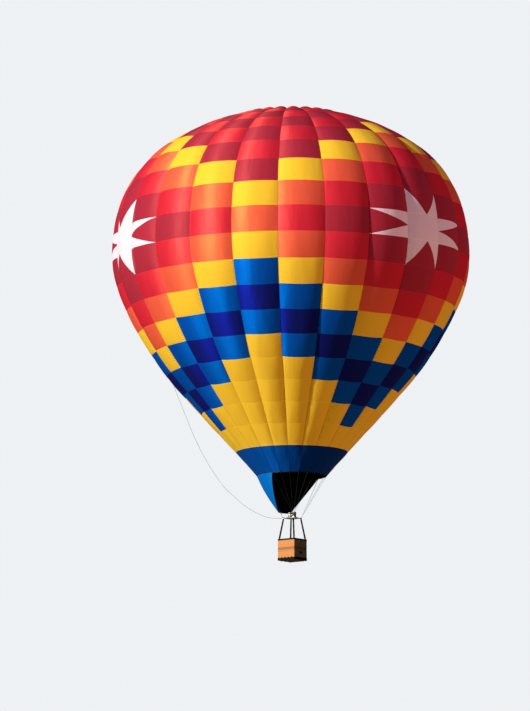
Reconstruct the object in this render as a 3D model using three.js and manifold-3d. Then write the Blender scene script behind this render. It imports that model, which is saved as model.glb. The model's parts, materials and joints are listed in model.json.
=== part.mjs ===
// Hot air balloon with a scoop, a swivelling double burner and a wicker basket.
// Millimetres, +Z up. The origin is on the balloon's upright axis, at the envelope's widest level.
// An azimuth is counted from -Y, and grows towards +X.
import * as THREE from 'three';
import { mergeVertices } from 'three/addons/utils/BufferGeometryUtils.js';
import Module from 'manifold-3d';

const wasm = await Module();
wasm.setup();

// Driving dimensions of the envelope
const GORES = 24;
const SEAM_RADIUS = 8900;          // at the widest level, in the seam valleys
const SKIN = 10;                   // the thickness that stands for the sewn fabric
const GAP = 0.3;                   // between pieces that touch
const BILLOW = 0.12;               // a gore's outward bulge, as a share of its width
const CROWN_BILLOW = 0.04;         // the same near the crown, where the gores are flatter
const FLATTENING = [4500, 8500];   // arc lengths between which the bulge drops to that
const BILLOW_FADE = 900;           // over which it fades to nothing at the vent's edge
const FIRST_SEAM = -19.15;         // azimuth of the first gore's left seam, in degrees
const PANEL = 1301.6;              // height of one row of panels along a seam
const MIDDLE_ROW_LOW_EDGE = -320;  // arc length from the widest level
const ROWS_BELOW = 9;              // whole rows between the middle row and the mouth band
const MOUTH_BAND = 1580;
const MOUTH_HEM = 100;
const VENT_RADIUS = 2300;
const VENT_OVERLAP = 180;          // how far the vent's valve reaches under the gores
const VENT_HEM = 60;
const TAPE_WIDTH = 40;
const CROWN_RING = 140;
const CROWN_RING_TUBE = 12;
const LEVEL_ACROSS = 4;            // strips across a gore

// The seam's curve, as arcs from the widest level: up to the crown, and down to the straight cone
const ARCS_UP = [
  { radius: 9774, sweep: 7.3, steps: 1 },
  { radius: 6217, sweep: 48.38, steps: 4 },
  { radius: 10312, sweep: 22.32, steps: 3 },
  { radius: 11973, sweep: 12, steps: 1 },
];
const ARCS_DOWN = [
  { radius: 5575, sweep: 21.35, steps: 2 },
  { radius: 16402, sweep: 19.25, steps: 2 },
];

// Scoop
const SCOOP_OVERLAP = 60;
const SCOOP_TOP = { firstSeam: -14, gores: 13 };
const SCOOP_LOW = { radius: 705, level: -13150, azimuth: -127.4, half: 45 };
const SCOOP_BELLY = 60;            // how far its middle stands out from straight
const SCOOP_ROWS = 6;

// Basket, uprights and burner frame, in a frame turned with the basket
const BASKET_TURN = -37.4;
const BASKET_HALF = 540;
const BASKET_CORNER = 70;
const WALL = 30;
const RIM_TOP = -14530;
const RIM = 85;
const RIM_OVERHANG = 25;
const FLOOR_TOP = -15600;
const FLOOR = 20;
const RUNNER = { width: 60, height: 30, length: 930, spacing: 345 };
const SCUFF = { height: 150, thickness: 10 };
const STEP_HOLE = { width: 200, height: 110, level: -15240 };
const UPRIGHT = { low: 468, high: 315, lowRadius: 40, highRadius: 34 };
const FRAME_LEVEL = -13460;
const FRAME_HALF = 315;
const FRAME_TUBE = 16;
const FRAME_CORNER = { radius: 35, low: 40, high: 35 };
const LUG = { radius: 14, out: 340, height: 55 };
const LINK = { out: 355, level: -13360, radius: 11, knot: 17 };
const WIRE = 4;

// Burner and its two pivots
const PIN = 8;
const PIVOT_BRACKET = { width: 30, height: 22, end: 195 };
const GIMBAL = { x: 255, y: 180, width: 20, height: 24 };
const BURNERS_APART = 260;
const PLATE = { x: 450, y: 190, thickness: 16, top: 60 };
const PIVOT_BAR = { x: 450, y: 30, z: 24 };
const VALVE_BLOCK = { x: 190, y: 90, z: 60 };
const VALVE = { radius: 38, depth: 150 };
const CAN = { radius: 100, wall: 3, height: 240 };
const COIL = { radius: 78, tube: 8, turns: 4, low: 22, high: 200 };

// Fuel cylinders
const CYLINDER = { radius: 145, height: 620, dome: 60, foot: 120, place: 356 };

// Crown line: a rope from the crown ring, down the valley between two gores, and free to the frame.
// Columns: distance out from the axis in metres, azimuth in degrees, height in metres.
const CROWN_LINE = { radius: 7, sides: 8, steps: 76 };
const CROWN_LINE_ROUTE = [
  [0.1528, -116.65, 7.42], [0.3, -117, 7.431], [0.85, -119.5, 7.418], [1.83, -122.5, 7.304],
  [3.6, -124.15, 6.882], [5.26, -124.15, 6.163], [6.72, -124.15, 5.189], [7.44, -124.15, 4.46],
  [8.025, -124.15, 3.633], [8.46, -124.15, 2.747], [8.8, -124.15, 1.552], [8.925, -124.15, 0],
  [8.885, -124.15, -0.685], [8.76, -124.15, -1.36], [8.46, -124.15, -2.5], [8.115, -124.1, -3.7],
  [7.73, -124, -4.9], [7.33, -123.85, -6.01], [6.915, -123.75, -6.93], [6.465, -123.6, -7.86],
  [6.09, -123.5, -8.66], [5.65, -123.3, -9.45], [5.165, -123.1, -10.22], [4.49, -122.7, -11.13],
  [4.05, -122.35, -11.63], [3.425, -121.75, -12.15], [2.75, -120.8, -12.67], [1.965, -118.8, -13.11],
  [1.45, -116, -13.32], [1, -112, -13.41], [0.63, -103.75, -13.44], [0.5167, -89.85, -13.46],
  [0.4705, -85.38, -13.46],
];

const rad = THREE.MathUtils.degToRad;
const V = (x, y, z) => new THREE.Vector3(x, y, z);
const polar = (radius, azimuth, z) => V(radius * Math.sin(rad(azimuth)), -radius * Math.cos(rad(azimuth)), z);
const seamAzimuth = (i) => FIRST_SEAM + (360 / GORES) * i;

// A point of the seam's curve at an arc length from the widest level, with its slope from upright
function seamAt(length) {
  const arcs = length >= 0 ? ARCS_UP : ARCS_DOWN;
  let left = Math.abs(length);
  let slope = 0;
  let radius = SEAM_RADIUS;
  let height = 0;
  for (const arc of arcs) {
    const turn = Math.min(left / arc.radius, rad(arc.sweep));
    radius += arc.radius * (Math.cos(slope + turn) - Math.cos(slope));
    height += arc.radius * (Math.sin(slope + turn) - Math.sin(slope));
    slope += turn;
    left -= turn * arc.radius;
  }
  radius -= left * Math.sin(slope);
  height += left * Math.cos(slope);
  const side = length >= 0 ? 1 : -1;
  return { radius, z: side * height, out: Math.cos(slope), up: side * Math.sin(slope) };
}

// Arc lengths of the arcs' ends and of the stations between them
function stations(arcs, side) {
  const list = [];
  let start = 0;
  for (const arc of arcs) {
    const length = arc.radius * rad(arc.sweep);
    for (let i = 1; i <= arc.steps; i += 1) list.push(side * (start + (length * i) / arc.steps));
    start += length;
  }
  return list;
}

// The arc length at which the crown has a given radius
function crownLength(radius) {
  let low = 0;
  let high = ARCS_UP.reduce((sum, arc) => sum + arc.radius * rad(arc.sweep), 0);
  for (let i = 0; i < 50; i += 1) {
    const middle = (low + high) / 2;
    if (seamAt(middle).radius > radius) low = middle;
    else high = middle;
  }
  return low;
}

const VENT_EDGE = crownLength(VENT_RADIUS);
const VALVE_EDGE = crownLength(VENT_RADIUS + VENT_OVERLAP);
const BAND_TOP = MIDDLE_ROW_LOW_EDGE - ROWS_BELOW * PANEL;
const LIP = BAND_TOP - MOUTH_BAND;

// A gore's cross line: from seam to seam, bulging along the curve's normal
function acrossGore(length, centre, billow, depth, shift) {
  const at = seamAt(length);
  const half = 180 / GORES;
  const chord = at.radius * Math.cos(rad(half));
  const halfWidth = at.radius * Math.sin(rad(half)) - shift;
  const bulge = billow * 2 * at.radius * Math.sin(rad(half));
  const line = [];
  for (let j = 0; j <= LEVEL_ACROSS; j += 1) {
    const u = (2 * j) / LEVEL_ACROSS - 1;
    const rise = bulge * (1 - u * u);
    const out = chord + rise * at.out;
    const side = u * halfWidth;
    const azimuth = THREE.MathUtils.radToDeg(Math.atan2(side, out)) + centre;
    const radius = Math.hypot(out, side) - depth * at.out;
    line.push(polar(radius, azimuth, at.z + rise * at.up - depth * at.up));
  }
  return line;
}

// A mesh from points and faces of three or four corners, each four split at its shorter diagonal
function solid(points, faces) {
  const triangles = [];
  for (const face of faces) {
    const [a, b, c, d] = face;
    if (face.length === 3) triangles.push(face);
    else if (points[a].distanceTo(points[c]) < points[b].distanceTo(points[d]) + 1e-6) {
      triangles.push([a, b, c], [a, c, d]);
    } else triangles.push([a, b, d], [b, c, d]);
  }
  const geometry = new THREE.BufferGeometry();
  const flat = points.flatMap((p) => [p.x, p.y, p.z]);
  let volume = 0;
  for (const [a, b, c] of triangles) volume += points[a].dot(points[b].clone().cross(points[c]));
  const wound = volume > 0 ? triangles : triangles.map(([a, b, c]) => [a, c, b]);
  geometry.setAttribute('position', new THREE.Float32BufferAttribute(flat, 3));
  geometry.setIndex(wound.flat());
  geometry.computeVertexNormals();
  return geometry;
}

// A sheet with two faces and four edges; front and back are grids of rows of points
function sheet(front, back) {
  const rows = front.length;
  const columns = front[0].length;
  const points = [...front.flat(), ...back.flat()];
  const f = (i, j) => i * columns + j;
  const b = (i, j) => rows * columns + i * columns + j;
  const faces = [];
  for (let i = 0; i < rows - 1; i += 1) {
    for (let j = 0; j < columns - 1; j += 1) {
      faces.push([f(i, j), f(i + 1, j), f(i + 1, j + 1), f(i, j + 1)]);
      faces.push([b(i, j), b(i, j + 1), b(i + 1, j + 1), b(i + 1, j)]);
    }
    faces.push([f(i, 0), b(i, 0), b(i + 1, 0), f(i + 1, 0)]);
    const k = columns - 1;
    faces.push([f(i, k), f(i + 1, k), b(i + 1, k), b(i, k)]);
  }
  for (let j = 0; j < columns - 1; j += 1) {
    const k = rows - 1;
    faces.push([f(0, j), f(0, j + 1), b(0, j + 1), b(0, j)]);
    faces.push([f(k, j), b(k, j), b(k, j + 1), f(k, j + 1)]);
  }
  return solid(points, faces);
}

// A closed ring: each section is a closed loop of points, and the last section meets the first
function ring(sections) {
  const n = sections.length;
  const m = sections[0].length;
  const at = (i, j) => (i % n) * m + (j % m);
  const faces = [];
  for (let i = 0; i < n; i += 1) {
    for (let j = 0; j < m; j += 1) faces.push([at(i, j), at(i + 1, j), at(i + 1, j + 1), at(i, j + 1)]);
  }
  return solid(sections.flat(), faces);
}

// A post: convex sections one above the other, with flat ends
function post(sections) {
  const m = sections[0].length;
  const last = (sections.length - 1) * m;
  const faces = [];
  for (let i = 0; i < sections.length - 1; i += 1) {
    for (let j = 0; j < m; j += 1) {
      const k = (j + 1) % m;
      faces.push([i * m + j, (i + 1) * m + j, (i + 1) * m + k, i * m + k]);
    }
  }
  for (let j = 1; j < m - 1; j += 1) faces.push([0, j, j + 1], [last, last + j + 1, last + j]);
  return solid(sections.flat(), faces);
}

function circle(x, y, z, radius, sides) {
  const points = [];
  for (let i = 0; i < sides; i += 1) {
    const angle = (2 * Math.PI * (i + 0.5)) / sides;
    points.push(V(x + radius * Math.cos(angle), y + radius * Math.sin(angle), z));
  }
  return points;
}

function rod(from, to, radius, sides = 10) {
  const geometry = new THREE.CylinderGeometry(radius, radius, from.distanceTo(to), sides);
  const along = to.clone().sub(from).normalize();
  geometry.applyQuaternion(new THREE.Quaternion().setFromUnitVectors(V(0, 1, 0), along));
  const middle = from.clone().add(to).multiplyScalar(0.5);
  return geometry.translate(middle.x, middle.y, middle.z);
}

function tubeSection(radius, sides) {
  const shape = new THREE.Shape();
  for (let i = 0; i < sides; i += 1) {
    const angle = (2 * Math.PI * i) / sides;
    const x = radius * Math.cos(angle);
    const y = radius * Math.sin(angle);
    if (i === 0) shape.moveTo(x, y);
    else shape.lineTo(x, y);
  }
  shape.closePath();
  return shape;
}

const box = (x, y, z, at) => new THREE.BoxGeometry(x, y, z).translate(at.x, at.y, at.z);

// Booleans
function toManifold(geometry) {
  const plain = geometry.clone();
  plain.deleteAttribute('normal');
  plain.deleteAttribute('uv');
  const merged = mergeVertices(plain, 1e-3);
  const mesh = new wasm.Mesh({
    numProp: 3,
    vertProperties: new Float32Array(merged.attributes.position.array),
    triVerts: new Uint32Array(merged.index.array),
  });
  mesh.merge();
  return new wasm.Manifold(mesh);
}

function fromManifold(manifold) {
  const mesh = manifold.getMesh();
  const geometry = new THREE.BufferGeometry();
  geometry.setAttribute('position', new THREE.Float32BufferAttribute(mesh.vertProperties, 3));
  geometry.setIndex([...mesh.triVerts]);
  geometry.computeVertexNormals();
  return geometry;
}

const joined = (geometries) => fromManifold(geometries.map(toManifold).reduce((sum, next) => sum.add(next)));

function cut(geometry, tools) {
  return fromManifold(tools.map(toManifold).reduce((sum, next) => sum.subtract(next), toManifold(geometry)));
}

// Materials by finish
const FINISHES = {
  maroon_fabric: { color: 0x9c1f33, roughness: 0.6, metalness: 0 },
  red_fabric: { color: 0xd8242f, roughness: 0.6, metalness: 0 },
  orange_fabric: { color: 0xf2643c, roughness: 0.6, metalness: 0 },
  yellow_fabric: { color: 0xf5c927, roughness: 0.6, metalness: 0 },
  navy_fabric: { color: 0x14285e, roughness: 0.7, metalness: 0 },
  blue_fabric: { color: 0x0a5ab8, roughness: 0.7, metalness: 0 },
  webbing: { color: 0xe2dfd2, roughness: 0.8, metalness: 0 },
  steel: { color: 0xc6c8ca, roughness: 0.3, metalness: 1 },
  brass: { color: 0xb9934e, roughness: 0.35, metalness: 1 },
  wicker: { color: 0xb8763a, roughness: 0.75, metalness: 0 },
  dark_leather: { color: 0x1d1a1c, roughness: 0.7, metalness: 0 },
  plywood: { color: 0x8a6036, roughness: 0.7, metalness: 0 },
  ash_wood: { color: 0x9c7547, roughness: 0.6, metalness: 0 },
  cylinder_steel: { color: 0xb9bcbf, roughness: 0.4, metalness: 0.9 },
  rope: { color: 0xd9d6cc, roughness: 0.9, metalness: 0 },
};

function piece(name, geometry, finish) {
  const mesh = new THREE.Mesh(geometry, new THREE.MeshStandardMaterial(FINISHES[finish]));
  mesh.name = name;
  return mesh;
}

// Envelope
const CLOSEST_STATION = 300;
const GORE_STATIONS = [
  VENT_EDGE,
  VALVE_EDGE,
  VENT_EDGE - BILLOW_FADE,
  ...stations(ARCS_UP, 1).reverse().filter((s) => s < VENT_EDGE - BILLOW_FADE - CLOSEST_STATION),
  0,
  ...stations(ARCS_DOWN, -1),
  BAND_TOP + GAP,
];

// The bulge drops towards the crown, and fades out where the gores lie flat under the vent's hem
function goreBillow(length) {
  const flatter = THREE.MathUtils.smoothstep(length, ...FLATTENING);
  const share = THREE.MathUtils.lerp(BILLOW, CROWN_BILLOW, flatter);
  return share * THREE.MathUtils.smoothstep(VENT_EDGE - length, 0, BILLOW_FADE);
}

function gore(index) {
  const centre = (seamAzimuth(index) + seamAzimuth(index + 1)) / 2;
  const face = (depth) => GORE_STATIONS.map((s) => acrossGore(s, centre, goreBillow(s), depth, GAP / 2));
  return sheet(face(0), face(SKIN));
}

// The band's rows: top edge, and the two edges of its flat hem
const BAND_ROWS = [
  { length: BAND_TOP, billow: BILLOW },
  { length: LIP + MOUTH_HEM, billow: 0 },
  { length: LIP, billow: 0 },
];

function mouthBand() {
  const sections = [];
  for (let i = 0; i < GORES; i += 1) {
    const centre = (seamAzimuth(i) + seamAzimuth(i + 1)) / 2;
    const outer = BAND_ROWS.map((row) => acrossGore(row.length, centre, row.billow, 0, 0));
    const inner = BAND_ROWS.map((row) => acrossGore(row.length, centre, row.billow, SKIN, 0));
    for (let j = 0; j < LEVEL_ACROSS; j += 1) {
      sections.push([...outer.map((line) => line[j]), ...inner.map((line) => line[j]).reverse()]);
    }
  }
  return ring(sections);
}

const lipPoint = (i, depth) => {
  const at = seamAt(LIP);
  return polar(at.radius - depth * at.out, seamAzimuth(i), at.z - depth * at.up);
};

// Scoop: a skirt on the outside of half the mouth's hem, drawn in to one side of the burner frame
function scoop() {
  const columns = Array.from({ length: SCOOP_TOP.gores + 1 }, (_, j) => j);
  const face = (depth) => {
    const hemRow = (length) => {
      const at = seamAt(length);
      const seam = (j) => seamAzimuth(SCOOP_TOP.firstSeam + j);
      return columns.map((j) => polar(at.radius + depth * at.out, seam(j), at.z + depth * at.up));
    };
    const high = hemRow(LIP);
    const low = columns.map((j) => {
      const azimuth = SCOOP_LOW.azimuth + SCOOP_LOW.half * ((2 * j) / SCOOP_TOP.gores - 1);
      return polar(SCOOP_LOW.radius + depth, azimuth, SCOOP_LOW.level);
    });
    const rows = [hemRow(LIP + SCOOP_OVERLAP), high];
    for (let i = 1; i <= SCOOP_ROWS; i += 1) {
      const share = i / SCOOP_ROWS;
      const belly = SCOOP_BELLY * 4 * share * (1 - share);
      rows.push(columns.map((j) => {
        const point = high[j].clone().lerp(low[j], share);
        const out = Math.hypot(point.x, point.y);
        return V(point.x * (1 + belly / out), point.y * (1 + belly / out), point.z);
      }));
    }
    return rows;
  };
  const clear = 0.4;
  return sheet(face(clear + SKIN), face(clear));
}

function crownLine() {
  const metre = 1000;
  const points = CROWN_LINE_ROUTE.map(([out, azimuth, z]) => polar(out * metre, azimuth, z * metre));
  const path = new THREE.CatmullRomCurve3(points, false, 'centripetal');
  const options = { steps: CROWN_LINE.steps, extrudePath: path, curveSegments: 1 };
  return new THREE.ExtrudeGeometry(tubeSection(CROWN_LINE.radius, CROWN_LINE.sides), options);
}

// Crown: hem of the vent, a load tape over every seam, and the ring where they meet
function crownStations() {
  const stepsToRing = 2;
  const ringLength = crownLength(CROWN_RING);
  const list = [];
  for (let i = 0; i <= stepsToRing; i += 1) {
    list.push(THREE.MathUtils.lerp(VENT_EDGE + GAP, ringLength, i / stepsToRing));
  }
  return list;
}

function crownTapes() {
  const hemLengths = [VENT_EDGE + GAP, VENT_EDGE + GAP + VENT_HEM];
  const hemSections = [];
  for (let i = 0; i < GORES; i += 1) {
    const at = (length, depth) => {
      const p = seamAt(length);
      return polar(p.radius - depth * p.out, seamAzimuth(i), p.z - depth * p.up);
    };
    const [outer, inner] = hemLengths;
    hemSections.push([at(outer, 0), at(inner, 0), at(inner, SKIN), at(outer, SKIN)]);
  }
  const tape = (i) => {
    const azimuth = rad(seamAzimuth(i));
    const across = V(Math.cos(azimuth), Math.sin(azimuth), 0).multiplyScalar(TAPE_WIDTH / 2);
    const face = (depth) => crownStations().map((length, k) => {
      const p = seamAt(length + (k === 0 ? VENT_HEM / 2 : 0));
      const middle = polar(p.radius - depth * p.out, seamAzimuth(i), p.z - depth * p.up);
      const taper = k === crownStations().length - 1 ? 0.5 : 1;
      const half = across.clone().multiplyScalar(taper);
      return [middle.clone().sub(half), middle.clone().add(half)];
    });
    return sheet(face(0), face(SKIN));
  };
  const level = seamAt(crownLength(CROWN_RING)).z - SKIN + CROWN_RING_TUBE;
  const ringSections = [];
  const steps = 24;
  const sides = 4;
  for (let i = 0; i < steps; i += 1) {
    const section = [];
    for (let j = 0; j < sides; j += 1) {
      const angle = (2 * Math.PI * (j + 0.5)) / sides;
      const radius = CROWN_RING + CROWN_RING_TUBE * Math.cos(angle) / Math.cos(Math.PI / sides);
      section.push(polar(radius, (360 * i) / steps, level + CROWN_RING_TUBE * Math.sin(angle)));
    }
    ringSections.push(section);
  }
  const tapes = Array.from({ length: GORES }, (_, i) => tape(i));
  return joined([ring(hemSections), ...tapes, ring(ringSections)]);
}

// Valve of the vent: a shallow dome pressed up against the tapes and the gores' edges from inside
function parachuteValve() {
  const lengths = [VALVE_EDGE, VENT_EDGE, ...crownStations()];
  const face = (depth) => lengths.map((length) => {
    const p = seamAt(length);
    const line = [];
    for (let i = 0; i < GORES; i += 1) line.push(polar(p.radius - depth * p.out, seamAzimuth(i), p.z - depth * p.up));
    return line;
  });
  const top = face(SKIN + GAP);
  const bottom = face(2 * SKIN + GAP);
  const crown = top.at(-1)[0].z;
  const points = [...top.flat(), ...bottom.flat(), V(0, 0, crown), V(0, 0, crown - SKIN)];
  const rows = lengths.length;
  const t = (i, j) => i * GORES + (j % GORES);
  const b = (i, j) => rows * GORES + t(i, j);
  const topCentre = points.length - 2;
  const bottomCentre = points.length - 1;
  const faces = [];
  for (let j = 0; j < GORES; j += 1) {
    for (let i = 0; i < rows - 1; i += 1) {
      faces.push([t(i, j), t(i, j + 1), t(i + 1, j + 1), t(i + 1, j)]);
      faces.push([b(i, j), b(i + 1, j), b(i + 1, j + 1), b(i, j + 1)]);
    }
    faces.push([t(0, j), b(0, j), b(0, j + 1), t(0, j + 1)]);
    faces.push([t(rows - 1, j), t(rows - 1, j + 1), topCentre]);
    faces.push([b(rows - 1, j + 1), b(rows - 1, j), bottomCentre]);
  }
  return solid(points, faces);
}

// Flying wires: six from the mouth's lip to each corner of the burner frame
function flyingWires(corner) {
  const azimuth = BASKET_TURN + 45 + 90 * corner;
  const out = (distance) => distance * Math.SQRT2;
  const knot = polar(out(LINK.out), azimuth, LINK.level);
  const foot = polar(out(LUG.out), azimuth, FRAME_LEVEL + LUG.height + GAP);
  const firstSeam = -1 + (GORES / 4) * corner;
  const parts = [
    post([circle(foot.x, foot.y, foot.z, LINK.radius, 8), circle(knot.x, knot.y, knot.z, LINK.radius, 8)]),
    new THREE.IcosahedronGeometry(LINK.knot, 1).translate(knot.x, knot.y, knot.z),
  ];
  for (let i = 0; i < GORES / 4; i += 1) {
    const lip = lipPoint(firstSeam + i, SKIN / 2);
    const along = knot.clone().sub(lip).normalize();
    parts.push(rod(lip.addScaledVector(along, 1.2), knot, WIRE, 6));
  }
  return joined(parts);
}

// Basket: walls woven round the corners, meeting at the corner canes
function roundedSquare(half, corner, z, perCorner = 3) {
  const points = [];
  for (let k = 0; k < 4; k += 1) {
    const middle = rad(45 + 90 * k);
    const centre = (half - corner) * Math.SQRT2;
    for (let i = 0; i <= perCorner; i += 1) {
      const angle = middle + rad((90 * i) / perCorner - 45);
      points.push(V(centre * Math.cos(middle) + corner * Math.cos(angle),
        centre * Math.sin(middle) + corner * Math.sin(angle), z));
    }
  }
  return points;
}

function squareRing(half, corner, thickness, low, high) {
  const outerLow = roundedSquare(half, corner, low);
  const outerHigh = roundedSquare(half, corner, high);
  const innerLow = roundedSquare(half - thickness, corner - thickness, low);
  const innerHigh = roundedSquare(half - thickness, corner - thickness, high);
  return ring(outerLow.map((p, i) => [p, outerHigh[i], innerHigh[i], innerLow[i]]));
}

const WALLS = squareRing(BASKET_HALF, BASKET_CORNER, WALL, FLOOR_TOP + GAP, RIM_TOP - RIM - GAP);
const WALL_SIDES = [
  { name: 'wall_scoop_side', turn: 180, hole: true },
  { name: 'wall_left', turn: 270, hole: false },
  { name: 'wall_step_side', turn: 0, hole: true },
  { name: 'wall_right', turn: 90, hole: false },
];

function basketWall(side) {
  const reach = BASKET_HALF + 50;
  const height = RIM_TOP - FLOOR_TOP;
  const wedge = post([FLOOR_TOP - 50, FLOOR_TOP + height + 50].map((z) => [
    V(GAP, 0, z),
    V(reach, -reach + GAP, z),
    V(reach, reach - GAP, z),
  ])).rotateZ(rad(side.turn));
  const quarter = toManifold(WALLS).intersect(toManifold(wedge));
  const wall = fromManifold(quarter);
  if (!side.hole) return wall;
  const hole = box(4 * WALL, STEP_HOLE.width, STEP_HOLE.height, V(BASKET_HALF - WALL / 2, 0, STEP_HOLE.level));
  return cut(wall, [hole.rotateZ(rad(side.turn))]);
}

// Rim: a padded roll with a flat top, on a rounded square
function basketRim() {
  const sides = 8;
  const centre = BASKET_HALF + RIM_OVERHANG - RIM / 2;
  const sections = roundedSquare(1, 0.001, 0).map(() => []);
  for (let j = 0; j < sides; j += 1) {
    const angle = (2 * Math.PI * (j + 0.5)) / sides;
    const reach = RIM / 2 / Math.cos(Math.PI / sides);
    const grow = reach * Math.cos(angle);
    const z = RIM_TOP - RIM / 2 + reach * Math.sin(angle);
    roundedSquare(centre + grow, BASKET_CORNER + grow, z).forEach((p, i) => sections[i].push(p));
  }
  return ring(sections);
}

const basketFloor = () => post([FLOOR_TOP - FLOOR, FLOOR_TOP].map((z) => roundedSquare(BASKET_HALF, BASKET_CORNER, z)));

function scuffBand() {
  const half = BASKET_HALF + GAP + SCUFF.thickness;
  const corner = BASKET_CORNER + GAP + SCUFF.thickness;
  const low = FLOOR_TOP - FLOOR;
  return squareRing(half, corner, SCUFF.thickness, low, low + SCUFF.height);
}

function runner(place) {
  const level = FLOOR_TOP - FLOOR - GAP - RUNNER.height / 2;
  return box(RUNNER.length, RUNNER.width, RUNNER.height, V(0, place * RUNNER.spacing, level));
}

// A padded upright leans in from the rim to the burner frame's corner
function upright(signX, signY) {
  const low = RIM_TOP + GAP;
  const high = FRAME_LEVEL - FRAME_CORNER.low - GAP;
  return post([
    circle(signX * UPRIGHT.low, signY * UPRIGHT.low, low, UPRIGHT.lowRadius, 12),
    circle(signX * UPRIGHT.high, signY * UPRIGHT.high, high, UPRIGHT.highRadius, 12),
  ]);
}

function burnerFrame() {
  const corners = [[1, 1], [-1, 1], [-1, -1], [1, -1]];
  const parts = [];
  corners.forEach(([x, y], i) => {
    const [nextX, nextY] = corners[(i + 1) % 4];
    const from = V(x * FRAME_HALF, y * FRAME_HALF, FRAME_LEVEL);
    const to = V(nextX * FRAME_HALF, nextY * FRAME_HALF, FRAME_LEVEL);
    parts.push(rod(from, to, FRAME_TUBE));
    const low = FRAME_LEVEL - FRAME_CORNER.low;
    const high = FRAME_LEVEL + FRAME_CORNER.high;
    parts.push(post([low, high].map((z) => circle(from.x, from.y, z, FRAME_CORNER.radius, 12))));
    const top = FRAME_LEVEL + LUG.height;
    parts.push(post([FRAME_LEVEL, top].map((z) => circle(x * LUG.out, y * LUG.out, z, LUG.radius, 8))));
  });
  for (const side of [1, -1]) {
    const reach = FRAME_HALF - PIVOT_BRACKET.end;
    const middle = side * (PIVOT_BRACKET.end + reach / 2);
    parts.push(box(PIVOT_BRACKET.width, reach, PIVOT_BRACKET.height, V(0, middle, FRAME_LEVEL)));
    const tip = V(0, side * (GIMBAL.y - GIMBAL.width / 2 - 3), FRAME_LEVEL);
    parts.push(rod(V(0, side * (PIVOT_BRACKET.end + 5), FRAME_LEVEL), tip, PIN, 12));
  }
  return joined(parts);
}

// Gimbal ring: a rectangle between the frame's pins and the burner's pins
function gimbalRing() {
  const { x, y, width, height } = GIMBAL;
  const outer = box(2 * x + width, 2 * y + width, height, V(0, 0, FRAME_LEVEL));
  const inner = box(2 * x - width, 2 * y - width, 2 * height, V(0, 0, FRAME_LEVEL));
  const hole = PIN + GAP;
  const long = 2 * (x + width);
  const holes = [
    rod(V(-long / 2, 0, FRAME_LEVEL), V(long / 2, 0, FRAME_LEVEL), hole, 12),
    rod(V(0, -long / 2, FRAME_LEVEL), V(0, long / 2, FRAME_LEVEL), hole, 12),
  ];
  return cut(outer, [inner, ...holes]);
}

const PLATE_TOP = FRAME_LEVEL + PLATE.top;

function burnerBase() {
  const parts = [
    box(PLATE.x, PLATE.y, PLATE.thickness, V(0, 0, PLATE_TOP - PLATE.thickness / 2)),
    box(PIVOT_BAR.x, PIVOT_BAR.y, PIVOT_BAR.z, V(0, 0, FRAME_LEVEL)),
    box(VALVE_BLOCK.x, VALVE_BLOCK.y, VALVE_BLOCK.z, V(0, 0, FRAME_LEVEL + VALVE_BLOCK.z / 2 - 10)),
  ];
  for (const side of [1, -1]) {
    const end = side * (GIMBAL.x + GIMBAL.width / 2 + 3);
    parts.push(rod(V(side * (PIVOT_BAR.x / 2 - 5), 0, FRAME_LEVEL), V(end, 0, FRAME_LEVEL), PIN, 12));
    const x = side * BURNERS_APART / 4;
    const low = FRAME_LEVEL - VALVE.depth;
    parts.push(post([low, FRAME_LEVEL].map((z) => circle(x, 0, z, VALVE.radius, 12))));
  }
  return joined(parts);
}

function burnerCan(side) {
  const low = PLATE_TOP + GAP;
  const wall = [
    new THREE.Vector2(CAN.radius - CAN.wall, low),
    new THREE.Vector2(CAN.radius, low),
    new THREE.Vector2(CAN.radius, low + CAN.height),
    new THREE.Vector2(CAN.radius - CAN.wall, low + CAN.height),
    new THREE.Vector2(CAN.radius - CAN.wall, low),
  ];
  return new THREE.LatheGeometry(wall, 20).rotateX(Math.PI / 2).translate(side * BURNERS_APART / 2, 0, 0);
}

// Coil: the fuel tube that winds up inside a can, on a short leg that stands on the plate
class Helix extends THREE.Curve {
  getPoint(t, target = new THREE.Vector3()) {
    const leg = 0.04;
    const turn = Math.max(0, (t - leg) / (1 - leg));
    const low = PLATE_TOP + GAP;
    const rise = t < leg ? (COIL.low * t) / leg : COIL.low + (COIL.high - COIL.low) * turn;
    const angle = 2 * Math.PI * COIL.turns * turn;
    return target.set(COIL.radius * Math.cos(angle), COIL.radius * Math.sin(angle), low + rise);
  }
}

function burnerCoil(side) {
  const options = { steps: 40, extrudePath: new Helix(), curveSegments: 1 };
  return new THREE.ExtrudeGeometry(tubeSection(COIL.tube, 6), options).translate(side * BURNERS_APART / 2, 0, 0);
}

function fuelCylinder(signX, signY) {
  const low = FLOOR_TOP + GAP;
  const { radius, height, dome, foot } = CYLINDER;
  const outline = [
    [0, low + 30], [foot - 12, low + 30], [foot - 12, low], [foot, low], [foot, low + 25], [radius, low + dome + 20],
    [radius, low + height - dome - 60], [foot, low + height - 70], [90, low + height - 62], [90, low + height],
    [84, low + height], [84, low + height - 55], [30, low + height - 50], [30, low + height - 5], [0, low + height - 5],
  ].map(([r, z]) => new THREE.Vector2(r, z));
  const place = CYLINDER.place;
  return new THREE.LatheGeometry(outline, 14).rotateX(Math.PI / 2).translate(signX * place, signY * place, 0);
}

// Assembly
const balloon = new THREE.Group();

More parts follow.
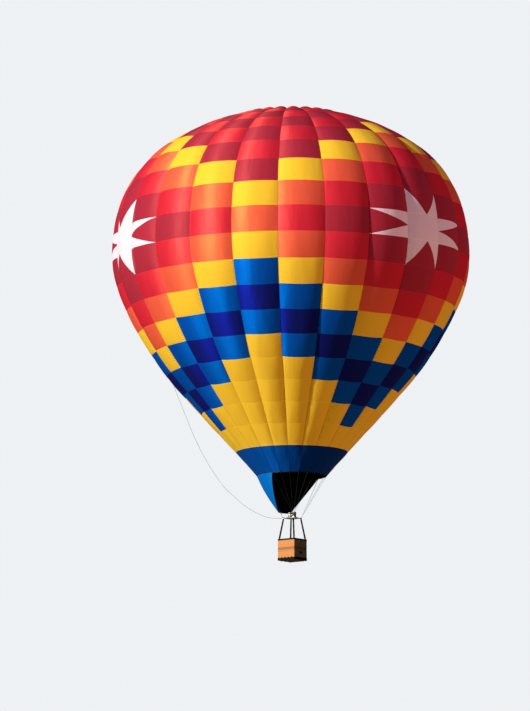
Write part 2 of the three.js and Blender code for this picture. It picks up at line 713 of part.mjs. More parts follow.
const goreFinish = ['maroon_fabric', 'yellow_fabric', 'orange_fabric', 'red_fabric'];
for (let i = 0; i < GORES; i += 1) {
  const name = `gore_${String(i + 1).padStart(2, '0')}`;
  balloon.add(piece(name, gore(i), goreFinish[i % goreFinish.length]));
}
balloon.add(piece('mouth_band', mouthBand(), 'navy_fabric'));
balloon.add(piece('scoop', scoop(), 'blue_fabric'));
balloon.add(piece('crown_tapes', crownTapes(), 'webbing'));
balloon.add(piece('parachute_valve', parachuteValve(), 'maroon_fabric'));
['near', 'right', 'back', 'left'].forEach((side, corner) => {
  balloon.add(piece(`flying_wires_${side}`, flyingWires(corner), 'steel'));
});
balloon.add(piece('crown_line', crownLine(), 'rope'));

const car = new THREE.Group();
car.rotation.z = rad(BASKET_TURN);
balloon.add(car);
for (const side of WALL_SIDES) car.add(piece(side.name, basketWall(side), 'wicker'));
car.add(piece('basket_rim', basketRim(), 'dark_leather'));
car.add(piece('basket_floor', basketFloor(), 'plywood'));
car.add(piece('scuff_band', scuffBand(), 'dark_leather'));
[-1, 0, 1].forEach((place, i) => car.add(piece(`runner_${i + 1}`, runner(place), 'ash_wood')));
const CORNERS = [
  { name: 'near', x: 1, y: -1 },
  { name: 'right', x: 1, y: 1 },
  { name: 'back', x: -1, y: 1 },
  { name: 'left', x: -1, y: -1 },
];
for (const { name, x, y } of CORNERS) {
  car.add(piece(`upright_${name}`, upright(x, y), 'dark_leather'));
  car.add(piece(`fuel_cylinder_${name}`, fuelCylinder(x, y), 'cylinder_steel'));
}
car.add(piece('burner_frame', burnerFrame(), 'steel'));
car.add(piece('gimbal_ring', gimbalRing(), 'steel'));
car.add(piece('burner_base', burnerBase(), 'brass'));
[{ name: 'a', side: -1 }, { name: 'b', side: 1 }].forEach(({ name, side }) => {
  car.add(piece(`burner_can_${name}`, burnerCan(side), 'steel'));
  car.add(piece(`burner_coil_${name}`, burnerCoil(side), 'steel'));
});

export default balloon;
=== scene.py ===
"""Hot air balloon: the pieces that show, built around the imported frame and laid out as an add-on."""

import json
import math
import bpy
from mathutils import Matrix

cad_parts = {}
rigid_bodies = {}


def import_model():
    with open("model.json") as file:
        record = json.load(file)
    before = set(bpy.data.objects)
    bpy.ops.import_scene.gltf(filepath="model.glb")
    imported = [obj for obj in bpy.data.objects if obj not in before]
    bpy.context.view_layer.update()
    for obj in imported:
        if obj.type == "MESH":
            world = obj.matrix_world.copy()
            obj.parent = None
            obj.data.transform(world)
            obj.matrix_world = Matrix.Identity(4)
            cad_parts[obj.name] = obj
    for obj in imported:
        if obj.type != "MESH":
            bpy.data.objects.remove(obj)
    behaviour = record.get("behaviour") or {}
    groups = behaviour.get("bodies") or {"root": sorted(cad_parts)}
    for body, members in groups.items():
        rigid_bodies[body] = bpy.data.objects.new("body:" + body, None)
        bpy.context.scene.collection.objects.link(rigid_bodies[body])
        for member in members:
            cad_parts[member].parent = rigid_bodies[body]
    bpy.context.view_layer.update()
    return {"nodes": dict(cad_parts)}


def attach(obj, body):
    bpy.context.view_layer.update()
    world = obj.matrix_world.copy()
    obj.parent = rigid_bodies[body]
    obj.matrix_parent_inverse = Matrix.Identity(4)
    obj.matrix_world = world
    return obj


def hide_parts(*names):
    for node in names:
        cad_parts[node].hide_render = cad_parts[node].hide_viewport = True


bl_info = {
    "name": "Hot Air Balloon",
    "version": (1, 0, 0),
    "blender": (4, 5, 0),
    "location": "View3D > Sidebar > Balloon",
    "description": "Builds a patchwork balloon's cloth, basket and burner around its packed frame",
    "category": "Object",
}

import bmesh
import bpy
import numpy as np
from mathutils import Matrix, Vector

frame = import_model()

# Envelope, in metres, as the part's source has it
GORES = 24
SEAM_RADIUS = 8.9
FIRST_SEAM = math.radians(-19.15)
GORE_ANGLE = 2 * math.pi / GORES
PANEL = 1.3016
MIDDLE_ROW_LOW_EDGE = -0.32
ROWS_BELOW = 9
ROWS_ABOVE = 8
MOUTH_BAND = 1.58
MOUTH_HEM = 0.1
VENT_RADIUS = 2.3
VENT_OVERLAP = 0.18
FLATTENING = (4.5, 8.5)
CROWN_RING = 0.14
CLOTH_SHELL = 0.01
GAP = 0.0003
ARCS_UP = ((9.774, 7.3), (6.217, 48.38), (10.312, 22.32), (11.973, 12.0))
ARCS_DOWN = ((5.575, 21.35), (16.402, 19.25))
SCOOP_OVERLAP = 0.06
SCOOP_LOW = {"radius": 0.705, "level": -13.15, "azimuth": math.radians(-127.4), "half": math.radians(45)}
SCOOP_FIRST_SEAM = -14
SCOOP_GORES = 13
SCOOP_BELLY = 0.06

# Cloth: what only the visible sheets have
ROW_SAG = 0.07
NEAR_BAND = 2.6
LINING = 0.004
LIP_SCALLOP = 0.05
SCOOP_WAIST = 0.03
SCOOP_STAND = 0.0095
SCOOP_PULL = 0.025
SCOOP_SPREAD = (5.6, 2.2)
# Distance from the seam given to the tapes' cloth: it puts them in the panels' painted valley shade, so they
# come out darker than the cloth.
TAPE_GAP = 0.02
CLOTH_SPACING = 4.0
BULGE_POWER = 2.2
SEAM_PINCH = {"depth": 0.005, "reach": 0.035}
CROWN_HEM = {"under": 0.06, "high": 0.002, "low": -0.005}
CROWN_RING_TUBE = 0.011
CROWN_WRAP = {"radius": 0.0135, "half_width": 0.01, "thickness": 1.17}

# Basket and burner frame, in axes turned with the basket
BASKET_TURN = math.radians(-37.4)
BASKET_HALF = 0.54
BASKET_CORNER = 0.07
WALL = 0.03
RIM_TOP = -14.53
RIM = 0.085
RIM_OVERHANG = 0.025
LACES = 32
LACE_TUBE = 0.0028
HIDE_RIPPLE = 0.0012
RIM_PINCH = {"depth": 0.0045, "reach": 0.09}
FLOOR_TOP = -15.6
FLOOR = 0.02
SCUFF = {"height": 0.15, "stand": 0.0095, "scallop": 0.045, "scallops": 20}
STEP_HOLE = {"width": 0.2, "height": 0.11, "level": -15.24}
CANE_ROW = 0.0161
STAKE_APART = 0.0552
UPRIGHT = {"low": 0.4672, "high": 0.315, "low_radius": 0.0435, "high_radius": 0.038}
UPRIGHT_STRAPS = (0.035, 0.33, 0.64, 0.965)
FRAME_LEVEL = -13.46
FRAME_HALF = 0.315
FRAME_TUBE = 0.016
LUG_OUT = 0.34
LUG_TOP = FRAME_LEVEL + 0.055
LINK = {"out": 0.355, "level": -13.36}
SHACKLE = {"reach": 0.008, "half_width": 0.017, "tube": 0.0055, "pin": 0.0095, "pin_half": 0.014}
WIRE_EYE = {"out": 0.022, "half_length": 0.024, "half_width": 0.012, "tube": 0.0035}
FERRULE_SHARE = 0.85
PIN = 0.008
BRACKET_END = 0.195
GIMBAL = {"x": 0.255, "y": 0.18, "width": 0.02, "height": 0.024}
BURNERS_APART = 0.26
PLATE = (0.45, 0.19, 0.016)
PLATE_TOP = FRAME_LEVEL + 0.06
PIVOT_BAR = (0.45, 0.03, 0.024)
CAN = {"radius": 0.1, "wall": 0.003, "height": 0.24, "sides": 72}
COIL = {"radius": 0.078, "low": 0.022, "rise": 0.178, "turns": 4, "tube": 0.0075}
JET_RING = 0.038
JETS = 10
CYLINDER = {"radius": 0.145, "height": 0.62, "place": 0.356}
CORNERS = (("near", 1, -1), ("right", 1, 1), ("back", -1, 1), ("left", -1, -1))

# Crown line: metres out from the axis, degrees of azimuth, metres of height
CROWN_LINE_ROUTE = (
    (0.1528, -116.65, 7.42), (0.3, -117, 7.431), (0.85, -119.5, 7.418), (1.83, -122.5, 7.304),
    (3.6, -124.15, 6.882), (5.26, -124.15, 6.163), (6.72, -124.15, 5.189), (7.44, -124.15, 4.46),
    (8.025, -124.15, 3.633), (8.46, -124.15, 2.747), (8.8, -124.15, 1.552), (8.925, -124.15, 0),
    (8.885, -124.15, -0.685), (8.76, -124.15, -1.36), (8.46, -124.15, -2.5), (8.115, -124.1, -3.7),
    (7.73, -124, -4.9), (7.33, -123.85, -6.01), (6.915, -123.75, -6.93), (6.465, -123.6, -7.86),
    (6.09, -123.5, -8.66), (5.65, -123.3, -9.45), (5.165, -123.1, -10.22), (4.49, -122.7, -11.13),
    (4.05, -122.35, -11.63), (3.425, -121.75, -12.15), (2.75, -120.8, -12.67), (1.965, -118.8, -13.11),
    (1.45, -116, -13.32), (1, -112, -13.41), (0.63, -103.75, -13.44), (0.5167, -89.85, -13.46),
    (0.4705, -85.38, -13.46),
)
CROWN_LINE_RADIUS = 0.007

# The photograph's camera
LENS_PIXELS = 4983.6
PHOTO_HEIGHT = 711
SENSOR = 36.0
CAMERA_AT = (0.0, -250.0, -44.42)
CAMERA_PITCH = 0.15587
CAMERA_YAW = -0.00538
CAMERA_ROLL = math.radians(-0.2)

# Lights: azimuth and height of where each stands, its colour and its angle
KEY_LIGHT = (math.radians(-54), 40.0, (1.0, 0.9, 0.8), math.radians(3))
WARM_LIGHT = (math.radians(73), 0.0, (1.0, 0.45, 0.334), math.radians(140))
GLOW_COLOUR = (1.0, 0.516, 0.014)
FLOOR_RADIUS = 900.0
EYE_HEIGHT = 0.5

UP = np.array([0.0, 0.0, 1.0])
TURN = np.array(Matrix.Rotation(BASKET_TURN, 3, "Z"))
SHARP_ANGLE = math.radians(38)


# Curves of the envelope
def polar(out, azimuth, height):
    """Points at a distance out from the axis; azimuth is counted from -Y and grows towards +X."""
    return np.stack(np.broadcast_arrays(out * np.sin(azimuth), -out * np.cos(azimuth), height), -1)


def seam_azimuth(index):
    return FIRST_SEAM + GORE_ANGLE * np.asarray(index, float)


def seam_curve(lengths):
    """Radius, height and outward normal of the seams' curve, at arc lengths from the widest level."""
    lengths = np.asarray(lengths, float)
    radius = np.full(lengths.shape, SEAM_RADIUS)
    height = np.zeros(lengths.shape)
    slope = np.zeros(lengths.shape)
    left = np.abs(lengths)
    for side, arcs in ((1, ARCS_UP), (-1, ARCS_DOWN)):
        here = lengths >= 0 if side > 0 else lengths < 0
        for arc, sweep in arcs:
            turn = np.where(here, np.minimum(left / arc, math.radians(sweep)), 0)
            radius = radius + arc * (np.cos(slope + turn) - np.cos(slope))
            height = height + side * arc * (np.sin(slope + turn) - np.sin(slope))
            slope = slope + turn
            left = left - turn * arc
    sign = np.where(lengths >= 0, 1.0, -1.0)
    radius = radius - left * np.sin(slope)
    height = height + sign * left * np.cos(slope)
    return radius, height, np.cos(slope), sign * np.sin(slope)


def crown_length(radius):
    """The arc length at which the crown has a given radius."""
    low = 0.0
    high = sum(arc * math.radians(sweep) for arc, sweep in ARCS_UP)
    for _ in range(50):
        middle = (low + high) / 2
        if seam_curve(middle)[0] > radius:
            low = middle
        else:
            high = middle
    return low


VENT_EDGE = crown_length(VENT_RADIUS)
VALVE_EDGE = crown_length(VENT_RADIUS + VENT_OVERLAP)
RING_EDGE = crown_length(CROWN_RING)
BAND_TOP = MIDDLE_ROW_LOW_EDGE - ROWS_BELOW * PANEL
LIP = BAND_TOP - MOUTH_BAND


def smooth_step(value, low, high):
    share = np.clip((value - low) / (high - low), 0, 1)
    return share * share * (3 - 2 * share)


def hill(share):
    """Rises from 0 to 1 in the middle and falls back to 0."""
    return 4 * share * (1 - share)


def soft_waves(across, along, seed, height, closest):
    """Soft folds of cloth as a sum of seeded waves; closest is the shortest wave across."""
    draw = np.random.default_rng(seed)
    total = np.zeros(np.shape(across))
    for _ in range(7):
        wave_across = draw.uniform(-1, 1) / closest
        wave_along = draw.uniform(-1, 1) / (closest * 3.5)
        start = draw.uniform(0, 1)
        total = total + np.sin(2 * math.pi * (wave_across * across + wave_along * along + start))
    return total * height / 7


def cloth_points(index, across, lengths, rise_of):
    """Points of a gore: across runs from 0 at its left seam to 1 at its right one.

    The cloth is cut flat, so where it bulges its rows of panels lie a little lower than at the seams.
    """
    half = GORE_ANGLE / 2
    centre = seam_azimuth(index) + half
    u = 2 * across - 1
    radius, _, out, up = seam_curve(lengths)
    rise = rise_of(u, radius * math.sin(half), lengths)
    low_rows = smooth_step(lengths, 1.5, -2.5) * smooth_step(lengths, BAND_TOP, BAND_TOP + NEAR_BAND)
    drawn_out = lengths - rise * np.arctan2(up, out) - ROW_SAG * (1 - u * u) * low_rows
    radius, height, out, up = seam_curve(drawn_out)
    half_width = radius * math.sin(half)
    outward = radius * math.cos(half) + rise * out
    sideways = u * half_width
    x = outward * np.sin(centre) + sideways * np.cos(centre)
    y = -outward * np.cos(centre) + sideways * np.sin(centre)
    return np.stack([x, y, height + rise * up], -1), half_width


def seam_strip(index, lengths, profile, width):
    """Loops round a tape on a seam; profile has pairs of a place across its width and a height."""
    radius, height, out, up = seam_curve(lengths)
    azimuth = float(seam_azimuth(index))
    normal = np.stack([out * math.sin(azimuth), -out * math.cos(azimuth), up], -1)
    side = np.array([math.cos(azimuth), math.sin(azimuth), 0])
    place, stand = np.array(profile).T
    across = np.broadcast_to(width, lengths.shape)[:, None] * place
    middle = polar(radius, azimuth, height)[:, None]
    return middle + normal[:, None] * stand[:, None] + side * across[..., None]


# Meshes
def turns(count):
    """Even angles round a full turn."""
    return 2 * math.pi * np.arange(count) / count


def hoop(centre, first, second, count):
    """Points of a loop round a centre, from its two half axes."""
    angle = turns(count)[:, None]
    return np.asarray(centre, float) + np.cos(angle) * np.asarray(first) + np.sin(angle) * np.asarray(second)


def lathed(outline, sides):
    """Points of an outline of (radius, height) pairs, turned about the upright axis."""
    out, height = np.hsplit(np.asarray(outline, float), 2)
    angle = turns(sides)
    return np.stack(np.broadcast_arrays(out * np.cos(angle), out * np.sin(angle), height), -1)


def unit(vector):
    return vector / np.linalg.norm(vector)


def both_sides(outer, inner):
    """Loops round a cloth: down its outer face and back up its inner one."""
    return np.concatenate([outer, inner[:, ::-1]], 1)


def grid_faces(rows, columns, wrap_rows=False, wrap_columns=False):
    """Four-cornered faces of a grid of points that is numbered row by row."""
    i = np.arange(rows if wrap_rows else rows - 1)
    j = np.arange(columns if wrap_columns else columns - 1)
    a, b = np.meshgrid(i, j, indexing="ij")
    c = (a + 1) % rows
    d = (b + 1) % columns
    corners = [a * columns + b, a * columns + d, c * columns + d, c * columns + b]
    return np.stack(corners, -1).reshape(-1, 4).tolist()


class Shape:
    """Points and faces gathered for one piece before it becomes an object."""

    def __init__(self):
        self.points = []
        self.faces = []
        self.finishes = []
        self.count = 0

    def add(self, points, faces, finish=0):
        """Adds faces; finish is the number of their material, or a list with one for each face."""
        points = np.asarray(points, float).reshape(-1, 3)
        self.faces.extend([self.count + i for i in face] for face in faces)
        self.finishes.extend(np.broadcast_to(finish, len(faces)).tolist())
        self.points.append(points)
        self.count += len(points)

    def skin(self, loops, finish=0, closed=False):
        """A skin through loops of points, with a face at each end unless it closes on itself."""
        count, sides = loops.shape[:2]
        faces = grid_faces(count, sides, closed, True)
        if not closed:
            faces += [list(range(sides)), list(range((count - 1) * sides, count * sides))]
        self.add(loops, faces, finish)

    def shell(self, outer, inner, faces):
        """Two like sheets of points, joined along every open edge of their faces."""
        count = len(outer)
        edges = [edge for face in faces for edge in zip(face, face[1:] + face[:1])]
        known = set(edges)
        under = [[i + count for i in face[::-1]] for face in faces]
        joins = [[a, b, b + count, a + count] for a, b in edges if (b, a) not in known]
        self.add(np.concatenate([outer, inner]), faces + under + joins)

    def tube(self, line, radius, sides=12, closed=False, finish=0):
        """A round tube along a line; radius is one number, or one for each point."""
        line = np.asarray(line, float)
        along = np.roll(line, -1, 0) - np.roll(line, 1, 0) if closed else np.gradient(line, axis=0)
        along /= np.linalg.norm(along, axis=1)[:, None]
        side = np.cross(along[0], UP)
        if np.linalg.norm(side) < 0.1:
            side = np.cross(along[0], (1.0, 0.0, 0.0))
        first = []
        for direction in along:
            side = unit(side - direction * side.dot(direction))
            first.append(side)
        first = np.array(first)
        second = np.cross(along, first)
        angle = turns(sides)[:, None]
        spokes = np.cos(angle) * first[:, None] + np.sin(angle) * second[:, None]
        radius = np.broadcast_to(np.asarray(radius, float), len(line))[:, None, None]
        self.skin(line[:, None] + radius * spokes, finish, closed)

    def lathe(self, outline, centre=(0, 0, 0), sides=32, finish=0, ringed=False, axis="Z"):
        """A turned form: outline has (radius, height) pairs; a ringed one closes on itself."""
        order = {"X": [2, 0, 1], "Y": [1, 2, 0], "Z": [0, 1, 2]}[axis]
        points = lathed(outline, sides)[..., order]
        self.skin(points + np.asarray(centre, float), finish, ringed)

    def block(self, size, centre, bevel=0.003, finish=0):
        """A block with rounded edges."""
        made = bmesh.new()
        bmesh.ops.create_cube(made, size=1)
        bmesh.ops.scale(made, vec=size, verts=made.verts)
        bmesh.ops.bevel(made, geom=made.edges[:], offset=bevel, segments=2, profile=0.5, affect="EDGES")
        made.verts.index_update()
        points = np.array([v.co for v in made.verts]) + np.asarray(centre, float)
        self.add(points, [[v.index for v in face.verts] for face in made.faces], finish)
        made.free()

    def piece(self, name, materials, body, slot, nodes=(), turned=True, closed=True):
        """Makes the object, which rides on a body and stands for the nodes that it replaces."""
        mesh = bpy.data.meshes.new(name)
        points = np.concatenate(self.points)
        mesh.from_pydata((points @ TURN.T if turned else points).tolist(), [], self.faces)
        mesh.polygons.foreach_set("material_index", self.finishes)
        for material in materials:
            mesh.materials.append(bpy.data.materials[material])
        if closed:
            face_outward(mesh)
        mesh.shade_smooth()
        mesh.set_sharp_from_angle(angle=SHARP_ANGLE)
        mesh.update()
        made = bpy.data.objects.new(name, mesh)
        bpy.context.scene.collection.objects.link(made)
        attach(made, body)
        if nodes:
            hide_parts(*nodes)
        return made


def face_outward(mesh):
    """Turns the faces of a closed mesh outward."""
    made = bmesh.new()
    made.from_mesh(mesh)
    bmesh.ops.recalc_face_normals(made, faces=made.faces)
    made.to_mesh(mesh)
    made.free()


def set_uv(mesh, name, places):
    """Gives each corner of a mesh its point's place on a flat surface."""
    corner = np.zeros(len(mesh.loops), np.int32)
    mesh.loops.foreach_get("vertex_index", corner)
    layer = mesh.uv_layers.new(name=name)
    layer.data.foreach_set("uv", places.reshape(-1, 2)[corner].astype(np.float32).ravel())


def bead(radius, low, high):
    """Outline points of a rolled bead on a turned wall."""
    turn = np.linspace(0, math.pi, 5)
    middle, half = (low + high) / 2, (high - low) / 2
    return [(radius + 0.0015 * math.sin(t), middle - half * math.cos(t)) for t in turn]


def sleeve(inner, outer, low, high):
    """Outline of a plain ring, to be turned."""
    return [(inner, low), (outer, low), (outer, high), (inner, high)]


# Shader nodes
COLOUR = "NodeSocketColor"
NUMBER = "NodeSocketFloat"


def node(tree, kind, inputs=None, **settings):
    """Adds a node; an input is a value or another node's output."""
    made = tree.nodes.new(kind)
    for name, value in settings.items():
        setattr(made, name, value)
    feed(tree, made, inputs or {})
    return made


def feed(tree, made, inputs):
    """Sets a node's inputs to values or to other nodes' outputs."""
    for name, value in inputs.items():
        if isinstance(value, bpy.types.NodeSocket):
            tree.links.new(value, made.inputs[name])
        else:
            made.inputs[name].default_value = value


def maths(tree, operation, *values, clamp=False):
    inputs = dict(enumerate(values))
    return node(tree, "ShaderNodeMath", inputs, operation=operation, use_clamp=clamp).outputs[0]


def times(tree, first, second):
    return maths(tree, "MULTIPLY", first, second)


def plus(tree, first, second):
    return maths(tree, "ADD", first, second)


def mixed(tree, factor, first, second, blend="MIX"):
    inputs = {0: factor, 6: first, 7: second}
    return node(tree, "ShaderNodeMix", inputs, data_type="RGBA", blend_type=blend).outputs[2]


def tinted(tree, colour, tint):
    return mixed(tree, 1.0, colour, tint, "MULTIPLY")


def mapped(tree, value, low, high, to_low=0.0, to_high=1.0):
    inputs = {"Value": value, "From Min": low, "From Max": high, "To Min": to_low, "To Max": to_high}
    return node(tree, "ShaderNodeMapRange", inputs, interpolation_type="SMOOTHSTEP").outputs[0]


def noise(tree, vector, scale, detail=3.0, roughness=0.5):
    inputs = {"Vector": vector, "Scale": scale, "Detail": detail, "Roughness": roughness}
    return node(tree, "ShaderNodeTexNoise", inputs).outputs[0]


def chance(tree, first, second=0.0):
    """A fixed random number for each pair of whole numbers."""
    cell = node(tree, "ShaderNodeCombineXYZ", {0: first, 1: second}).outputs[0]
    return node(tree, "ShaderNodeTexWhiteNoise", {"Vector": cell}, noise_dimensions="2D").outputs[0]


def stretched(tree, vector, scale):
    return node(tree, "ShaderNodeVectorMath", {0: vector, 1: scale}, operation="MULTIPLY").outputs[0]


def flat_place(tree, layer):
    """A place on a flat surface, whole and as its two numbers."""
    place = node(tree, "ShaderNodeUVMap", uv_map=layer).outputs[0]
    parts = node(tree, "ShaderNodeSeparateXYZ", {0: place}).outputs
    return place, parts[0], parts[1]


def object_place(tree):
    return node(tree, "ShaderNodeTexCoord").outputs["Object"]


def grey(tree, value):
    return node(tree, "ShaderNodeCombineColor", {i: value for i in range(3)}).outputs[0]


def with_alpha(colour):
    return (*colour[:3], 1.0)


def effect(name, inputs, outputs):
    """Starts a node group; returns its tree, its inner inputs and its output node."""
    tree = bpy.data.node_groups.new(name, "ShaderNodeTree")
    for label, kind, default in inputs:
        tree.interface.new_socket(label, in_out="INPUT", socket_type=kind).default_value = default
    for label, kind in outputs:
        tree.interface.new_socket(label, in_out="OUTPUT", socket_type=kind)
    return tree, tree.nodes.new("NodeGroupInput").outputs, tree.nodes.new("NodeGroupOutput")


SURFACE_OUTPUTS = [("Color", COLOUR), ("Roughness", NUMBER), ("Height", NUMBER)]


def sewn_panel_effect():
    """Cloth that is cut in panels: each a shade of its own, with seams, puckers, fading and ripstop, and
    painted shade darkening the cloth beside each upright seam as the shadow in the valley between gores.
    """
    tree, given, end = effect(
        "sewn_panel",
        [("Color", COLOUR, (1, 1, 1, 1)), ("Shade Range", NUMBER, 0.1), ("Painted Seam Shade", NUMBER, 0.5),
         ("Fade", NUMBER, 0.12), ("Pucker", NUMBER, 0.003)],
        SURFACE_OUTPUTS,
    )
    cloth, across, along = flat_place(tree, "cloth")
    gap = node(tree, "ShaderNodeAttribute", attribute_name="seam_gap").outputs["Fac"]
    along_rows = maths(tree, "SUBTRACT", along, MIDDLE_ROW_LOW_EDGE)
    row = maths(tree, "FLOOR", maths(tree, "DIVIDE", along_rows, PANEL))
    column = maths(tree, "FLOOR", maths(tree, "DIVIDE", across, CLOTH_SPACING))
    swing = times(tree, maths(tree, "SUBTRACT", chance(tree, column, row), 0.5), given["Shade Range"])
    shade = {"Value": plus(tree, swing, 1.0), "Color": given["Color"]}
    toned = node(tree, "ShaderNodeHueSaturation", shade).outputs[0]
    patches = noise(tree, cloth, 0.55, 4.0)
    faded = times(tree, mapped(tree, patches, 0.35, 0.75), given["Fade"])
    colour = mixed(tree, faded, toned, tinted(tree, toned, (1.18, 1.15, 1.12, 1)))
    row_line = mapped(tree, maths(tree, "PINGPONG", along_rows, PANEL / 2), 0.016, 0.011)
    # Painted shade: beside each upright seam the cloth is darkened to stand in for the shadow in the valley
    # between two gores; the same mask raises the tapes' bump.
    valley_shade_and_tape_mask = mapped(tree, gap, 0.03, 0.012)
    painted_valley_shade = tinted(tree, colour, (0.42, 0.36, 0.33, 1))
    light_seam = tinted(tree, colour, (1.25, 1.25, 1.2, 1))
    valley_shaded = mixed(tree, times(tree, valley_shade_and_tape_mask, given["Painted Seam Shade"]), colour, painted_valley_shade)
    ended = mixed(tree, times(tree, row_line, 0.6), valley_shaded, light_seam)
    ripple = maths(tree, "SINE", plus(tree, times(tree, along, 52.0), times(tree, patches, 14.0)))
    pucker = times(tree, times(tree, ripple, mapped(tree, gap, 0.34, 0.02)), given["Pucker"])
    creases = times(tree, noise(tree, stretched(tree, cloth, (3.2, 0.9, 1)), 1.0, 4.0), 0.02)
    bricks = {"Vector": cloth, "Scale": 90.0, "Mortar Size": 0.06, "Mortar Smooth": 1.0, "Brick Width": 1.0}
    threads = node(tree, "ShaderNodeTexBrick", {**bricks, "Row Height": 1.0}, offset=0.0).outputs["Fac"]
    tapes = times(tree, maths(tree, "MAXIMUM", row_line, valley_shade_and_tape_mask), 0.0012)
    height = plus(tree, plus(tree, pucker, creases), plus(tree, times(tree, threads, 0.00025), tapes))
    rough = mapped(tree, patches, 0.2, 0.8, 0.6, 0.7)
    feed(tree, end, {"Color": ended, "Roughness": rough, "Height": height})


def woven_effect():
    """Over and under of woven threads, as a height and a shade."""
    tree, given, end = effect(
        "woven_threads",
        [("Scale", NUMBER, 400.0), ("Depth", NUMBER, 0.0004)],
        [("Shade", NUMBER), ("Height", NUMBER)],
    )
    inputs = {"Vector": object_place(tree), "Scale": given["Scale"]}
    waves = [node(tree, "ShaderNodeTexWave", inputs, bands_direction=way) for way in ("DIAGONAL", "Z")]
    product = times(tree, waves[0].outputs["Fac"], waves[1].outputs["Fac"])
    shade = mapped(tree, product, 0.0, 1.0, 0.72, 1.0)
    feed(tree, end, {"Shade": shade, "Height": times(tree, product, given["Depth"])})


def wear_effect():
    """Use: pale worn edges and darker dirt in hollows, with small dents."""
    tree, given, end = effect(
        "worn_surface",
        [("Color", COLOUR, (1, 1, 1, 1)), ("Worn Color", COLOUR, (1, 1, 1, 1)), ("Wear", NUMBER, 0.5),
         ("Dirt", NUMBER, 0.3), ("Grain Scale", NUMBER, 60.0), ("Roughness", NUMBER, 0.5),
         ("Depth", NUMBER, 0.0006)],
        SURFACE_OUTPUTS,
    )
    place = object_place(tree)
    bend = node(tree, "ShaderNodeNewGeometry").outputs["Pointiness"]
    broad = noise(tree, place, 7.0, 5.0, 0.6)
    fine = noise(tree, place, given["Grain Scale"], 4.0, 0.6)
    edge = times(tree, mapped(tree, bend, 0.52, 0.6), mapped(tree, fine, 0.35, 0.65))
    stained = maths(tree, "MAXIMUM", mapped(tree, bend, 0.49, 0.43), mapped(tree, broad, 0.5, 0.8))
    dark = tinted(tree, given["Color"], (0.45, 0.4, 0.35, 1))
    dirty = mixed(tree, times(tree, stained, given["Dirt"]), given["Color"], dark)
    worn = mixed(tree, times(tree, edge, given["Wear"]), dirty, given["Worn Color"])
    grain = plus(tree, times(tree, fine, 0.5), times(tree, broad, 0.5))
    swing = mapped(tree, grain, 0.3, 0.7, -0.1, 0.1)
    rough = maths(tree, "ADD", given["Roughness"], swing, clamp=True)
    feed(tree, end, {"Color": worn, "Roughness": rough, "Height": times(tree, fine, given["Depth"])})


def placed(tree, name, inputs):
    """A shared effect, placed in a material."""
    return node(tree, "ShaderNodeGroup", inputs, node_tree=bpy.data.node_groups[name]).outputs


def start_material(name):
    material = bpy.data.materials.new(name)
    material.use_nodes = True
    return material.node_tree


def finish(tree, colour, rough, height, metal=0.0, **shader):
    """Ends a material in its one Principled shader, with bump from its height."""
    bump = node(tree, "ShaderNodeBump", {"Strength": 1.0, "Distance": 1.0, "Height": height}).outputs[0]
    parts = {"Base Color": colour, "Roughness": rough, "Metallic": metal, "Normal": bump, **shader}
    feed(tree, tree.nodes["Principled BSDF"], parts)


def panel_fabric(name, colour, satin, painted_seam_shade=0.5, shade_range=0.1, fade=0.12, pucker=0.003):
    """Coated cloth: its satin is strongest along one way of its threads."""
    tree = start_material(name)
    made = placed(tree, "sewn_panel", {
        "Color": with_alpha(colour), "Painted Seam Shade": painted_seam_shade, "Shade Range": shade_range, "Fade": fade,
        "Pucker": pucker,
    })
    threads = node(tree, "ShaderNodeTangent", direction_type="UV_MAP", uv_map="cloth").outputs[0]
    tint = with_alpha([c / max(satin) for c in satin])
    finish(tree, made["Color"], made["Roughness"], made["Height"], **{
        "IOR": 2.5, "Specular IOR Level": max(satin), "Specular Tint": tint,
        "Anisotropic": 0.74, "Anisotropic Rotation": 0.25, "Tangent": threads,
    })


def worn_material(name, colour, worn, rough, wear=0.4, grain=60.0, depth=0.0006, metal=0.0, **shader):
    tree = start_material(name)
    made = placed(tree, "worn_surface", {
        "Color": with_alpha(colour), "Worn Color": with_alpha(worn), "Wear": wear, "Dirt": 0.3,
        "Grain Scale": grain, "Roughness": rough, "Depth": depth,
    })
    finish(tree, made["Color"], made["Roughness"], made["Height"], metal, **shader)


def woven_material(name, colour, scale, depth, rough=0.8, **shader):
    tree = start_material(name)
    threads = placed(tree, "woven_threads", {"Scale": scale, "Depth": depth})
    toned = tinted(tree, with_alpha(colour), grey(tree, threads["Shade"]))
    finish(tree, toned, rough, threads["Height"], **shader)


def between(tree, value, low, high, edge):
    """1 between two levels, with soft edges."""
    return times(tree, mapped(tree, value, low, low + edge), mapped(tree, value, high, high - edge))


